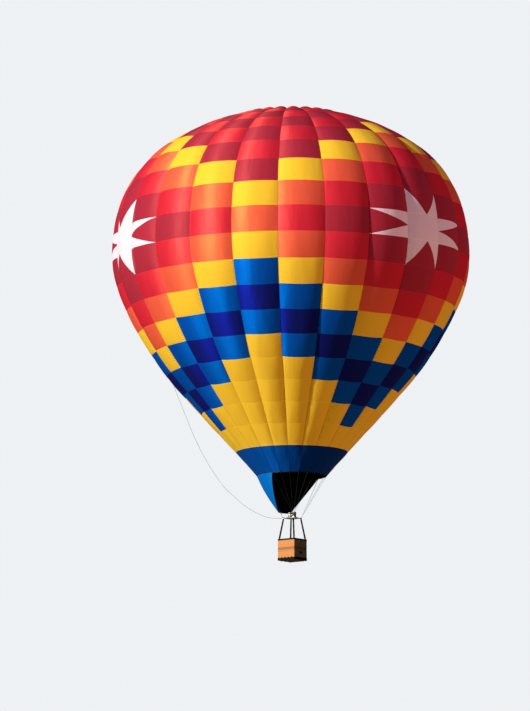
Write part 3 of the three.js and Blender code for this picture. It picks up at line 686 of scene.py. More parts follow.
def wicker_material(name, light, dark):
    """Willow canes: colour by cane, painted shade in the grooves between them, with two dark bands of
    pattern.
    """
    tree = start_material(name)
    place, across, level = flat_place(tree, "weave")
    rows = maths(tree, "DIVIDE", level, CANE_ROW)
    stakes = maths(tree, "DIVIDE", across, STAKE_APART)
    row = maths(tree, "FLOOR", rows)
    by_cane = times(tree, chance(tree, row), 0.35)
    by_knuckle = times(tree, chance(tree, row, maths(tree, "FLOOR", stakes)), 0.3)
    grain = noise(tree, stretched(tree, place, (9.0, 160.0, 1)), 1.0, 4.0)
    share = plus(tree, plus(tree, by_cane, by_knuckle), times(tree, grain, 0.35))
    tone = mixed(tree, share, with_alpha(light), with_alpha(dark))
    checks = maths(tree, "PINGPONG", plus(tree, rows, stakes), 1.0)
    dotted = plus(tree, times(tree, maths(tree, "GREATER_THAN", checks, 0.42), 0.45), 0.25)
    band = times(tree, between(tree, level, 0.5, 0.636, 0.006), dotted)
    line = times(tree, between(tree, level, 0.432, 0.453, 0.005), 0.6)
    stained = mixed(tree, maths(tree, "MAXIMUM", band, line), tone, (0.1, 0.035, 0.015, 1))
    # Painted shade: each cane is darkened towards its edges, for the shadow in the grooves between canes.
    painted_groove_shade = mapped(tree, maths(tree, "PINGPONG", rows, 0.5), 0.0, 0.2, 0.35, 1.0)
    rough = mapped(tree, grain, 0.3, 0.7, 0.42, 0.6)
    coat = {"Coat Weight": 0.15, "Coat Roughness": 0.3}
    finish(tree, tinted(tree, stained, grey(tree, painted_groove_shade)), rough, times(tree, grain, 0.0008), **coat)


def wood_material(name, light, dark, scale):
    tree = start_material(name)
    long_grain = noise(tree, stretched(tree, object_place(tree), scale), 1.0, 5.0, 0.6)
    tone = mixed(tree, mapped(tree, long_grain, 0.35, 0.65), with_alpha(light), with_alpha(dark))
    made = placed(tree, "worn_surface", {
        "Color": tone, "Worn Color": with_alpha(light), "Wear": 0.3, "Dirt": 0.4, "Grain Scale": 40.0,
        "Roughness": 0.45, "Depth": 0.0004,
    })
    finish(tree, made["Color"], made["Roughness"], made["Height"])


def brushed_material(name, colour, rough, scale=(6.0, 6.0, 400.0), stain=0.3):
    """Metal with fine lines along one way and a little heat stain."""
    tree = start_material(name)
    place = object_place(tree)
    colour = with_alpha(colour)
    lines = noise(tree, stretched(tree, place, scale), 1.0, 3.0)
    stained = times(tree, mapped(tree, noise(tree, place, 9.0, 4.0), 0.5, 0.75), stain)
    tone = mixed(tree, stained, colour, tinted(tree, colour, (0.72, 0.6, 0.45, 1)))
    swing = mapped(tree, lines, 0.3, 0.7, rough - 0.08, rough + 0.1)
    finish(tree, tone, swing, times(tree, lines, 0.00015), 1.0)


# Settings that a user would change
def colour_setting(name, description, default):
    return bpy.props.FloatVectorProperty(
        name=name, description=description, default=default, size=3, min=0, max=1, subtype="COLOR",
    )


def size_setting(name, description, default, low, high):
    return bpy.props.FloatProperty(
        name=name, description=description, default=default, min=low, max=high, subtype="DISTANCE",
        unit="LENGTH",
    )


def share_setting(name, description, default, high):
    return bpy.props.FloatProperty(
        name=name, description=description, default=default, min=0, max=high, subtype="FACTOR",
    )


def strength_setting(name, description, default, high=5):
    return bpy.props.FloatProperty(name=name, description=description, default=default, min=0, max=high)


class EnvelopeSettings(bpy.types.PropertyGroup):
    billow: share_setting("Billow", "A gore's outward bulge, as a share of its width", 0.12, 0.2)
    crown_billow: share_setting("Crown billow", "The same bulge in the rows below the vent", 0.07, 0.2)
    vent_billow: share_setting("Vent billow", "The same bulge round the vent", 0.2, 0.35)
    puff: size_setting("Panel puff", "How far each panel swells between its seams", 0.012, 0, 0.05)
    fold: size_setting("Soft folds", "Height of the cloth's broad soft folds", 0.03, 0, 0.1)
    tape: size_setting("Load tape", "Width of the tape over each upright seam", 0.024, 0.01, 0.1)
    yellow: colour_setting("Yellow", "Yellow panels", (0.896, 0.606, 0.039))
    orange: colour_setting("Orange", "Orange panels", (0.97, 0.129, 0.073))
    red: colour_setting("Red", "Red panels", (0.755, 0.021, 0.052))
    maroon: colour_setting("Maroon", "Maroon panels", (0.39, 0.024, 0.05))
    blue: colour_setting("Blue", "Blue panels", (0.002, 0.08, 0.52))
    navy: colour_setting("Navy", "Navy panels", (0.007, 0.011, 0.116))
    white: colour_setting("White", "Star panels", (0.86, 0.76, 0.87))
    band: colour_setting("Mouth band", "Heat resistant cloth of the mouth band", (0.0, 0.082, 0.42))
    scoop: colour_setting("Scoop", "Outside of the scoop", (0.0, 0.19, 0.75))
    # The lining colour is the dark inner cloth with the shade inside the band and the scoop painted in, and
    # it also paints the shadow line under the lip.
    lining: colour_setting("Lining", "Dark lining of the scoop and the band", (0.012, 0.012, 0.02))


class RiggingSettings(bpy.types.PropertyGroup):
    wire: size_setting("Flying wire", "Thickness of a flying wire", 0.008, 0.002, 0.02)
    rope: colour_setting("Rope", "Colour of the crown line", (0.035, 0.04, 0.05))
    webbing: colour_setting("Webbing", "Colour of the tapes over the vent", (0.62, 0.6, 0.52))


class BasketSettings(bpy.types.PropertyGroup):
    weave: size_setting("Weave", "How far the canes stand out", 0.0045, 0, 0.02)
    willow_light: colour_setting("Light willow", "The lighter canes", (0.95, 0.4, 0.077))
    willow_dark: colour_setting("Dark willow", "The darker canes", (0.56, 0.19, 0.032))
    leather: colour_setting("Leather", "Rim, scuff band and upright covers", (0.005, 0.0045, 0.006))
    jacket: colour_setting("Cylinder jacket", "Padded jackets of the fuel cylinders", (0.02, 0.03, 0.06))


class BurnerSettings(bpy.types.PropertyGroup):
    steel: colour_setting("Steel", "Cans, coils and frame", (0.62, 0.62, 0.62))
    brass: colour_setting("Brass", "Valves and fittings", (0.6, 0.42, 0.16))


class StageSettings(bpy.types.PropertyGroup):
    floor: colour_setting("Floor", "Plain pale floor", (0.8, 0.8, 0.8))
    bounce: colour_setting("Bounce", "Colour of the light that the floor sends back up", (0.12, 0.11, 0.06))
    sun: strength_setting("Key light", "Strength of the key light", 4.5, 10)
    fill: strength_setting("Fill light", "Strength of the soft fill", 0.16)
    warm: strength_setting("Warm fill", "Strength of the warm light on the shaded gores", 1.161)
    glow: strength_setting("Glow from below", "Strength of the light on the gores' undersides", 0.562)


SETTINGS = {
    "balloon_envelope": EnvelopeSettings,
    "balloon_rigging": RiggingSettings,
    "balloon_basket": BasketSettings,
    "balloon_burner": BurnerSettings,
    "balloon_stage": StageSettings,
}


# Envelope
PANEL_COLOURS = ("maroon", "red", "orange", "yellow", "blue", "navy", "white")
PANEL_CLOTHS = tuple(f"{name}_cloth" for name in PANEL_COLOURS)
SEAM_CLOTHS = (*PANEL_CLOTHS, "band_cloth")
# Lining: partly the inner cloth's own dark colour and partly painted shade inside; it also paints the shadow
# under the lip.
LINED_BAND = ("band_cloth", "lining_cloth")
LINED_SCOOP = ("scoop_cloth", "lining_cloth")
ROW_SHARES = (0.0, 0.02, 0.06, 0.14, 0.27, 0.42, 0.58, 0.73, 0.86, 0.94, 0.98)
COLUMN_SHARES = (0.0, 0.02, 0.06, 0.13, 0.22, 0.33, 0.44, 0.56, 0.67, 0.78, 0.87, 0.94, 0.98, 1.0)
PEAKS_APART = 8
STAR_GORE = 4
BANDS_BELOW = {6: "blue_cloth", 7: "navy_cloth", 8: "blue_cloth"}
SEAM_TAPE = (
    (-0.5, 0.001), (-0.42, 0.004), (0, 0.0055), (0.42, 0.004), (0.5, 0.001),
    (0.42, -0.002), (0, -0.002), (-0.42, -0.002),
)
VENT_TAPE = ((-0.5, 0.0015), (-0.4, 0.004), (0.4, 0.004), (0.5, 0.0015), (0.4, -0.003), (-0.4, -0.003))
VENT_TAPE_WIDTH = 0.04


def from_peak(index):
    """How many gores lie between a gore and the nearest peak of the pattern."""
    step = index % PEAKS_APART
    return min(step, PEAKS_APART - step)


def panel_colour(index, row):
    """The pattern: rings of colour round each star, then bands of blue below."""
    ring = abs(row) + STAR_GORE - from_peak(index)
    if ring == 4:
        return "orange_cloth"
    if ring == 5:
        return "yellow_cloth"
    if row < 0 and ring >= 6:
        return BANDS_BELOW.get(ring, "yellow_cloth")
    return "red_cloth" if ring % 2 and ring > 1 else "maroon_cloth"


def star_cuts(index):
    """Lines of the star's points in a gore: the row cut, a point on the line, and the line's direction."""
    if from_peak(index) == STAR_GORE:
        return [(row, (0.5, max(row, 0)), (side * 0.5, row)) for row in (1, -1) for side in (-1, 1)]
    if from_peak(index) == STAR_GORE - 1:
        star_on_right = from_peak(index + 1) == STAR_GORE
        start, way = ((1, 0.5), -1) if star_on_right else ((0, 0.5), 1)
        return [(0, start, (way, side * 0.5)) for side in (-1, 1)]
    return []


def in_star(index, row, x, y):
    """True where a star covers a gore; x is the share across, y is in rows from the middle row's low edge."""
    if from_peak(index) == STAR_GORE:
        far = y - 1 if row > 0 else -y
        return row == 0 or abs(row) == 1 and abs(x - 0.5) >= 0.5 * far
    if from_peak(index) == STAR_GORE - 1 and row == 0:
        far = 1 - x if from_peak(index + 1) == STAR_GORE else x
        return abs(y - 0.5) >= 0.5 * far
    return False


def cloth_name(index, x, y):
    """The cloth at a place in a gore."""
    row = math.floor(y)
    return "white_cloth" if in_star(index, row, x, y) else panel_colour(index, row)


def bulge_of(settings, u, half_width, lengths):
    """A gore's bulge between its seams: flatter towards the crown, and fullest round the vent."""
    share = settings.billow + (settings.crown_billow - settings.billow) * smooth_step(lengths, *FLATTENING)
    at_vent = smooth_step(lengths, VENT_EDGE - 0.7, VENT_EDGE)
    share = share + (settings.vent_billow - settings.crown_billow) * at_vent
    share = share * (1 - 0.5 * smooth_step(lengths, BAND_TOP + NEAR_BAND, BAND_TOP))
    return share * 2 * half_width * (1 - np.abs(u) ** BULGE_POWER)


def bulge_moved(settings, shift):
    """The bulge alone, moved out by a fixed distance."""
    return lambda u, half_width, lengths: bulge_of(settings, u, half_width, lengths) + shift


def gore_rise(settings, seed):
    """How far a gore's cloth stands out from the flat between its seams."""
    def rise(u, half_width, lengths):
        rows = (lengths - MIDDLE_ROW_LOW_EDGE) / PANEL
        share = rows - np.floor(rows)
        open_cloth = 1 - u ** 4
        taut = smooth_step(VENT_EDGE - lengths, 0, 1.2) * smooth_step(lengths - BAND_TOP, 0, 0.5)
        puff = settings.puff * hill(share) * open_cloth
        nearest = np.minimum(share, 1 - share) * PANEL
        pinch = SEAM_PINCH["depth"] * np.exp(-((nearest / SEAM_PINCH["reach"]) ** 2)) * open_cloth
        folds = soft_waves(u * half_width, lengths, seed, settings.fold, 0.9) * open_cloth
        return bulge_of(settings, u, half_width, lengths) + taut * (puff - pinch + folds)
    return rise


def band_rise(settings, seed, depth):
    """The same for the mouth band, at a depth under its outer face."""
    def rise(u, half_width, lengths):
        open_cloth = smooth_step(lengths, LIP + MOUTH_HEM, BAND_TOP)
        folds = soft_waves(u * half_width, lengths, seed, settings.fold * 0.8, 0.5) * (1 - u ** 4)
        bulge = bulge_of(settings, u, half_width, lengths)
        return (bulge + folds * smooth_step(BAND_TOP - lengths, 0, 0.3)) * open_cloth - depth
    return rise


def flat_cloth(index, u, half_width, lengths):
    """Places on the flat cloth, in metres, and how far each one lies from its seam."""
    across = u * half_width
    return np.stack([across + CLOTH_SPACING * (index + 0.5), lengths], -1), half_width - np.abs(across)


def paint_cloth(mesh, places, gap):
    """Stores the places on the flat cloth and the distances from the seams, for the cloth's materials."""
    set_uv(mesh, "cloth", places)
    attribute = mesh.attributes.new("seam_gap", "FLOAT", "POINT")
    gaps = np.broadcast_to(np.ravel(gap), len(mesh.vertices))
    attribute.data.foreach_set("value", gaps.astype(np.float32))


def make_gore(index, settings):
    """One gore as a sheet of cloth, cut along the star's edges where it has one."""
    top_row = (VENT_EDGE - MIDDLE_ROW_LOW_EDGE) / PANEL
    levels = [row + share for row in range(-ROWS_BELOW, ROWS_ABOVE + 1) for share in ROW_SHARES]
    levels = [level for level in levels if level < top_row - 0.02] + [top_row]
    flat = bmesh.new()
    grid = [flat.verts.new((x, y, 0)) for y in levels for x in COLUMN_SHARES]
    for face in grid_faces(len(levels), len(COLUMN_SHARES)):
        flat.faces.new([grid[i] for i in face])
    for row, point, way in star_cuts(index):
        faces = [f for f in flat.faces if row < f.calc_center_median().y < row + 1]
        edges = list({e for f in faces for e in f.edges})
        corners = list({v for f in faces for v in f.verts})
        bmesh.ops.bisect_plane(
            flat, geom=faces + edges + corners, dist=1e-5, plane_co=(*point, 0),
            plane_no=(-way[1], way[0], 0),
        )
    flat.verts.index_update()
    across, rows = np.array([v.co for v in flat.verts])[:, :2].T
    faces = [[v.index for v in face.verts] for face in flat.faces]
    middles = [face.calc_center_median() for face in flat.faces]
    finishes = [PANEL_CLOTHS.index(cloth_name(index, middle.x, middle.y)) for middle in middles]
    flat.free()
    lengths = MIDDLE_ROW_LOW_EDGE + PANEL * rows
    points, half_width = cloth_points(index, across, lengths, gore_rise(settings, index))
    shape = Shape()
    shape.add(points, faces, finishes)
    number = f"gore_{index + 1:02d}"
    piece = shape.piece(
        f"cloth_{number}", PANEL_CLOTHS, "balloon", "envelope_fabric", [number], turned=False, closed=False,
    )
    paint_cloth(piece.data, *flat_cloth(index, 2 * across - 1, half_width, lengths))


def make_load_tapes(settings):
    """A narrow tape over every upright seam, from the mouth to the vent's edge, in the cloth's colours
    darkened by the painted valley shade.
    """
    shape = Shape()
    lengths = np.linspace(LIP + 0.02, VENT_EDGE, 170)
    middles = ((lengths[1:] + lengths[:-1]) / 2 - MIDDLE_ROW_LOW_EDGE) / PANEL
    places = []
    for i in range(GORES):
        names = ["band_cloth" if y < -ROWS_BELOW else cloth_name(i, 0.0, y) for y in middles]
        cloths = [SEAM_CLOTHS.index(name) for name in names]
        finishes = np.append(np.repeat(cloths, len(SEAM_TAPE)), [cloths[0], cloths[-1]])
        shape.skin(seam_strip(i, lengths, SEAM_TAPE, settings.tape), finishes)
        columns = np.full(len(SEAM_TAPE), CLOTH_SPACING * (i + 0.5))
        places.append(np.stack(np.broadcast_arrays(columns, lengths[:, None]), -1))
    piece = shape.piece("load_tapes", SEAM_CLOTHS, "balloon", "webbing", turned=False)
    paint_cloth(piece.data, np.concatenate(places), TAPE_GAP)


def make_mouth_band(settings):
    """Band of heat resistant cloth, billowed at its top, with a scalloped hem at the lip and its lowest outer
    row painted dark as the shadow under the lip.
    """
    rows = np.append(np.linspace(0, 0.97, 21), 1)
    across, share = np.meshgrid(np.linspace(0, 1, 13)[:-1], rows, indexing="ij")
    u = 2 * across - 1
    lengths = BAND_TOP + (LIP - LIP_SCALLOP * (1 - u * u) - BAND_TOP) * share
    loops, places, gaps = [], [], []
    for i in range(GORES):
        points, half_width = cloth_points(i, across, lengths, band_rise(settings, 100 + i, 0))
        lining, _ = cloth_points(i, across, lengths, band_rise(settings, 100 + i, LINING))
        place, gap = flat_cloth(i, u, half_width, lengths)
        loops.append(both_sides(points, lining))
        places.append(both_sides(place, place))
        gaps.append(both_sides(gap, gap))
    loops = np.concatenate(loops)
    height = len(rows)
    shape = Shape()
    # The lining's colour covers the inside and the lowest outer row; that row is a painted shadow under the
    # lip.
    shape.skin(loops, np.tile([0] * (height - 2) + [1] * (height + 1) + [0], len(loops)), closed=True)
    piece = shape.piece(
        "mouth_band_cloth", LINED_BAND, "balloon", "navy_fabric", ["mouth_band"], turned=False,
    )
    paint_cloth(piece.data, np.concatenate(places), np.concatenate(gaps))


def scoop_surface(across, down, stand):
    """Points of the scoop: across from its left edge to its right one, down from the band's lip."""
    lip_radius, lip_height, _, up = seam_curve(LIP)
    hem_radius, hem_height, _, _ = seam_curve(LIP + SCOOP_OVERLAP)
    azimuth = seam_azimuth(SCOOP_FIRST_SEAM + SCOOP_GORES * across)
    low_azimuth = SCOOP_LOW["azimuth"] + SCOOP_LOW["half"] * (2 * across - 1)
    high = polar(lip_radius, azimuth, lip_height)
    low = polar(SCOOP_LOW["radius"], low_azimuth, SCOOP_LOW["level"])
    share = np.clip(down, 0, 1)
    points = high + (low - high) * share[..., None]
    reach = np.hypot(points[..., 0], points[..., 1])
    points[..., :2] *= (1 + (SCOOP_BELLY * hill(share) + stand) / reach)[..., None]
    hem = polar(hem_radius + stand, azimuth, hem_height + stand * up)
    return np.where((down < 0)[..., None], hem, points)


def make_scoop():
    """Scoop: half a skirt of cloth, blue outside and dark inside, with a hem all round; the inside is dark
    partly from its own cloth and partly as painted shade, and the hem row outside is a painted shadow under
    the lip.
    """
    columns = SCOOP_GORES * 8 + 1
    down = np.concatenate([[-0.1], np.linspace(0, 1, 34)])
    rows = len(down)
    a, d = np.meshgrid(np.linspace(0, 1, columns), down, indexing="ij")
    between_seams = SCOOP_GORES * a - np.floor(SCOOP_GORES * a)
    belly = hill(np.clip(d, 0, 1))
    folds = soft_waves(a * 5, d * 1.6, 77, 0.02, 0.6) * belly
    hold = smooth_step(a, 0, 0.08) * smooth_step(a, 1, 0.92)
    stand = SCOOP_STAND + (SCOOP_PULL * belly * hill(between_seams) + folds) * hold
    drawn = 0.5 + (a - 0.5) * (1 - SCOOP_WAIST * belly)
    loops = both_sides(scoop_surface(drawn, d, stand), scoop_surface(drawn, d, stand - LINING))
    faces = grid_faces(columns, 2 * rows, False, True)
    last = (columns - 1) * 2 * rows
    for j in range(rows - 1):
        k = 2 * rows - 1 - j
        faces += [[j, k, k - 1, j + 1], [last + j, last + j + 1, last + k - 1, last + k]]
    # The hem row outside takes the lining's dark colour as a painted shadow under the lip.
    finishes = ([1] + [0] * (rows - 1) + [1] * (rows - 1) + [0]) * (columns - 1) + [0] * (2 * rows - 2)
    shape = Shape()
    shape.add(loops, faces, finishes)
    piece = shape.piece("scoop_cloth", LINED_SCOOP, "balloon", "blue_fabric", ["scoop"], turned=False)
    spread = np.stack([a * SCOOP_SPREAD[0], LIP - d * SCOOP_SPREAD[1]], -1)
    gap = np.minimum(between_seams, 1 - between_seams) * 0.45
    paint_cloth(piece.data, both_sides(spread, spread), both_sides(gap, gap))


def gore_steps(per_gore, lengths):
    """A grid round all gores: the gore and the share across it at each step, and the arc lengths."""
    place, lengths = np.meshgrid(np.arange(GORES * per_gore) / per_gore, lengths, indexing="ij")
    gore = np.floor(place)
    return gore, place - gore, lengths


def make_crown(settings):
    """Tapes over the vent, their ring, and the hem of the vent."""
    shape = Shape()
    lengths = np.linspace(VENT_EDGE - 0.12, RING_EDGE, 26)
    width = VENT_TAPE_WIDTH * (1 - 0.5 * smooth_step(lengths, VENT_EDGE + 1.2, lengths[-1]))
    for i in range(GORES):
        shape.skin(seam_strip(i, lengths, VENT_TAPE, width))
    gore, share, hem = gore_steps(12, np.linspace(VENT_EDGE + GAP, VENT_EDGE + CROWN_HEM["under"], 4))
    shifts = (CROWN_HEM["high"], CROWN_HEM["low"])
    sides = [cloth_points(gore, share, hem, bulge_moved(settings, shift))[0] for shift in shifts]
    shape.skin(both_sides(*sides), closed=True)
    ring_level = float(seam_curve(RING_EDGE)[1]) + 0.004
    shape.tube(polar(CROWN_RING, turns(72), ring_level), CROWN_RING_TUBE, 14, True, 1)
    for azimuth in seam_azimuth(range(GORES)):
        centre = polar(CROWN_RING, azimuth, ring_level)
        side = polar(CROWN_WRAP["half_width"], azimuth + math.pi / 2, 0)
        ring = hoop(centre, polar(CROWN_WRAP["radius"], azimuth, 0), CROWN_WRAP["radius"] * UP, 12)
        thick = centre + (ring - centre) * CROWN_WRAP["thickness"]
        shape.skin(np.stack([ring - side, ring + side, thick + side, thick - side], 1), closed=True)
    materials = ["webbing_tape", "brushed_steel"]
    shape.piece("crown_tapes_and_ring", materials, "balloon", "webbing", ["crown_tapes"], turned=False)


def make_valve(settings):
    """The vent's valve: a shallow dome of cloth that puffs up between the tapes."""
    lengths = np.append(np.linspace(VALVE_EDGE, VENT_EDGE, 4)[:-1], np.linspace(VENT_EDGE, RING_EDGE, 30))
    gore, share, s = gore_steps(8, lengths)
    points, half_width = cloth_points(gore, share, s, bulge_moved(settings, -CLOTH_SHELL - LINING))
    columns, rows = s.shape
    faces = [face[::-1] for face in grid_faces(columns, rows, True, False)]
    top = list(range(rows - 1, columns * rows, rows))
    faces += [[a, b, columns * rows] for a, b in zip(top, top[1:] + top[:1])]
    levels = np.floor(((lengths[:-1] + lengths[1:]) / 2 - MIDDLE_ROW_LOW_EDGE) / PANEL).astype(int)
    column_gores = gore[:, 0].astype(int)
    finishes = [PANEL_CLOTHS.index(panel_colour(i, row)) for i in column_gores for row in levels]
    finishes += [PANEL_CLOTHS.index(panel_colour(i, levels[-1])) for i in column_gores]
    shape = Shape()
    shape.add(np.append(points.reshape(-1, 3), [[0, 0, points[:, -1, 2].mean()]], 0), faces, finishes)
    piece = shape.piece(
        "vent_valve_cloth", PANEL_CLOTHS, "vent_valve", "envelope_fabric", ["parachute_valve"],
        turned=False, closed=False,
    )
    places, gap = flat_cloth(gore, 2 * share - 1, half_width, s)
    paint_cloth(piece.data, np.append(places.reshape(-1, 2), [[0, lengths[-1]]], 0), np.append(gap, 0.05))


# Rigging
def crown_line_points(per_span=8):
    """The crown line's centre line: a smooth curve through its route."""
    route = np.array(CROWN_LINE_ROUTE)
    points = polar(route[:, 0], np.radians(route[:, 1]), route[:, 2])
    points = np.concatenate([2 * points[:1] - points[1:2], points, 2 * points[-1:] - points[-2:-1]])
    line = []
    for i in range(len(points) - 3):
        a, b, c, d = points[i:i + 4]
        ab, bc, cd = (np.linalg.norm(q - p) ** 0.5 for p, q in ((a, b), (b, c), (c, d)))
        start = ((b - a) / ab - (c - a) / (ab + bc) + (c - b) / bc) * bc
        end = ((c - b) / bc - (d - b) / (bc + cd) + (d - c) / cd) * bc
        for t in np.arange(per_span) / per_span:
            bend = (3 * (c - b) - 2 * start - end) * t * t + (2 * (b - c) + start + end) * t ** 3
            line.append(b + start * t + bend)
    line.append(points[-2])
    return np.array(line)


def make_crown_line():
    """The free rope from the crown ring down to the burner frame."""
    line = crown_line_points()
    curve = bpy.data.curves.new("crown_line_rope", "CURVE")
    curve.dimensions = "3D"
    curve.bevel_depth = CROWN_LINE_RADIUS
    curve.bevel_resolution = 2
    curve.use_fill_caps = True
    spline = curve.splines.new("POLY")
    spline.points.add(len(line) - 1)
    spline.points.foreach_set("co", np.concatenate([line, np.ones((len(line), 1))], 1).ravel())
    curve.materials.append(bpy.data.materials["crown_rope"])
    rope = bpy.data.objects.new("crown_line_rope", curve)
    bpy.context.scene.collection.objects.link(rope)
    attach(rope, "balloon")
    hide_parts("crown_line")


def make_flying_wires(corner, name, settings):
    """Six wires from the lip to one corner of the frame, with their thimbles and shackle."""
    shape = Shape()
    azimuth = BASKET_TURN + math.pi / 4 + math.pi / 2 * corner
    knot = polar(LINK["out"] * math.sqrt(2), azimuth, LINK["level"])
    foot = polar(LUG_OUT * math.sqrt(2), azimuth, LUG_TOP)
    rise = unit(knot - foot)
    centre = (knot + foot) / 2 + rise * 0.004
    side = polar(SHACKLE["half_width"], azimuth + math.pi / 2, 0)
    half_long = np.linalg.norm(knot - foot) / 2 + SHACKLE["reach"]
    shape.tube(hoop(centre, rise * half_long, side, 24), SHACKLE["tube"], 10, True, 1)
    pin = rise * SHACKLE["pin_half"]
    shape.tube([centre + side - pin, centre + side + pin], SHACKLE["pin"], 10, False, 1)
    lip_radius, lip_height, out, up = seam_curve(LIP)
    middle = knot + rise * 0.004
    ferrule = settings.wire * FERRULE_SHARE
    for i in range(GORES // 4):
        seam = -1 + GORES // 4 * corner + i
        lip = polar(lip_radius - 0.005 * out, seam_azimuth(seam), lip_height - 0.005 * up)
        way = unit(middle - lip)
        shape.tube([lip + way * 0.03, middle], settings.wire / 2, 8)
        for end, near, far in ((lip, 0.05, 0.1), (middle, -0.09, -0.04)):
            shape.tube([end + way * near, end + way * far], ferrule, 8, False, 1)
        across = unit(np.cross(way, UP)) * WIRE_EYE["half_width"]
        eye = hoop(lip + way * WIRE_EYE["out"], way * WIRE_EYE["half_length"], across, 14)
        shape.tube(eye, WIRE_EYE["tube"], 6, True, 1)
    materials = ["wire_rope", "brushed_steel"]
    shape.piece(f"rigging_{name}", materials, "balloon", "steel", [f"flying_wires_{name}"], turned=False)


# Basket
def rounded_square(half, corner, per_corner, per_side):
    """Points of a rounded square, with their outward normals, from its corner at 45 degrees onwards."""
    points, normals = [], []
    for middle in np.radians([45, 135, 225, 315]):
        centre = (half - corner) * math.sqrt(2) * np.array([math.cos(middle), math.sin(middle)])
        for angle in np.linspace(middle - math.pi / 4, middle + math.pi / 4, per_corner + 1):
            normals.append(np.array([math.cos(angle), math.sin(angle)]))
            points.append(centre + corner * normals[-1])
        end, normal = points[-1], normals[-1]
        side = 2 * (half - corner) * np.array([-normal[1], normal[0]])
        for share in np.linspace(0, 1, per_side + 1)[1:-1]:
            points.append(end + side * share)
            normals.append(normal)
    return np.array(points), np.array(normals)


def lengths_along(points):
    """How far round a closed line each point lies, and the line's whole length."""
    steps = np.linalg.norm(np.roll(points, -1, 0) - points, axis=1)
    return np.concatenate([[0], np.cumsum(steps)[:-1]]), steps.sum()


def stood_out(points, normals, stand, levels):
    """Points in space over a line on the ground, each moved out along the line's normal."""
    return np.concatenate([points + normals * stand[..., None], levels[..., None]], -1)


WALL_STRAIGHT = BASKET_HALF - BASKET_CORNER
WALL_HALF_LENGTH = WALL_STRAIGHT + BASKET_CORNER * math.pi / 4
WALL_LOW = FLOOR_TOP + GAP
WALL_HIGH = RIM_TOP - RIM - GAP
WALLS = (("scoop_side", 180, True), ("left", 270, False), ("step_side", 0, True), ("right", 90, False))


def wall_line(places):
    """Points and outward normals on one wall, at lengths from its middle; the wall faces +X."""
    bend = np.clip((np.abs(places) - WALL_STRAIGHT) / BASKET_CORNER, 0, None) * np.sign(places)
    normals = np.stack([np.cos(bend), np.sin(bend)], -1)
    along = np.clip(places, -WALL_STRAIGHT, WALL_STRAIGHT)
    middle = np.stack([np.full(along.shape, WALL_STRAIGHT), along], -1)
    return middle + BASKET_CORNER * normals, normals


def make_wall(name, turn, hole, settings):
    """One wall of woven willow: canes over and under upright stakes, on both faces."""
    stakes = round(2 * WALL_HALF_LENGTH / STAKE_APART)
    canes = round((WALL_HIGH - WALL_LOW) / CANE_ROW)
    across = np.linspace(-WALL_HALF_LENGTH + GAP, WALL_HALF_LENGTH - GAP, stakes * 4 + 1)
    a, r = np.meshgrid(across, np.linspace(0, canes, canes * 3 + 1), indexing="ij")
    row = np.minimum(np.floor(r + 1e-6), canes - 1)
    round_cane = np.sqrt(np.clip(hill(r - row), 0, 1))
    stake = (a / WALL_HALF_LENGTH + 1) / 2 * stakes
    weave = np.cos(math.pi * (stake + row)) * round_cane
    level = WALL_LOW + r / canes * (WALL_HIGH - WALL_LOW)
    spin = np.array(Matrix.Rotation(math.radians(turn), 2))
    place, normal = (part @ spin.T for part in wall_line(a))
    depth = settings.weave
    outer = stood_out(place, normal, depth * (weave + round_cane) / 2 - depth, level)
    inner = stood_out(place, normal, depth * (weave - round_cane) / 2 + depth - WALL, level)
    columns, rows = a.shape
    middle_across, middle_level = ((part[:-1, :-1] + part[1:, 1:]) / 2 for part in (a, level))
    in_hole = (np.abs(middle_across) < STEP_HOLE["width"] / 2) & (
        np.abs(middle_level - STEP_HOLE["level"]) < STEP_HOLE["height"] / 2
    )
    faces = np.array(grid_faces(columns, rows)).reshape(columns - 1, rows - 1, 4)
    shape = Shape()
    shape.shell(outer.reshape(-1, 3), inner.reshape(-1, 3), faces[~(in_hole & hole)].tolist())
    if hole:
        add_step_hoop(shape, spin)
    piece = shape.piece(f"wicker_{name}", ["willow", "dark_hide"], "balloon", "wicker", [f"wall_{name}"])
    flat = np.stack([stake * STAKE_APART, r * CANE_ROW], -1).reshape(-1, 2)
    hoop_places = np.zeros((len(piece.data.vertices) - 2 * len(flat), 2))
    set_uv(piece.data, "weave", np.concatenate([flat, flat, hoop_places]))


def add_step_hoop(shape, spin):
    """The bound edge of a step hole: three cords side by side."""
    points, _ = rounded_square(0.5, 0.12, 5, 3)
    for depth in (-0.011, 0.0, 0.011):
        out = np.full(len(points), BASKET_HALF - WALL / 2 + depth)
        flat = np.stack([out, points[:, 0] * STEP_HOLE["width"]], -1) @ spin.T
        level = STEP_HOLE["level"] + points[:, 1:] * STEP_HOLE["height"]
        shape.tube(np.concatenate([flat, level], 1), 0.0075, 8, True, 1)


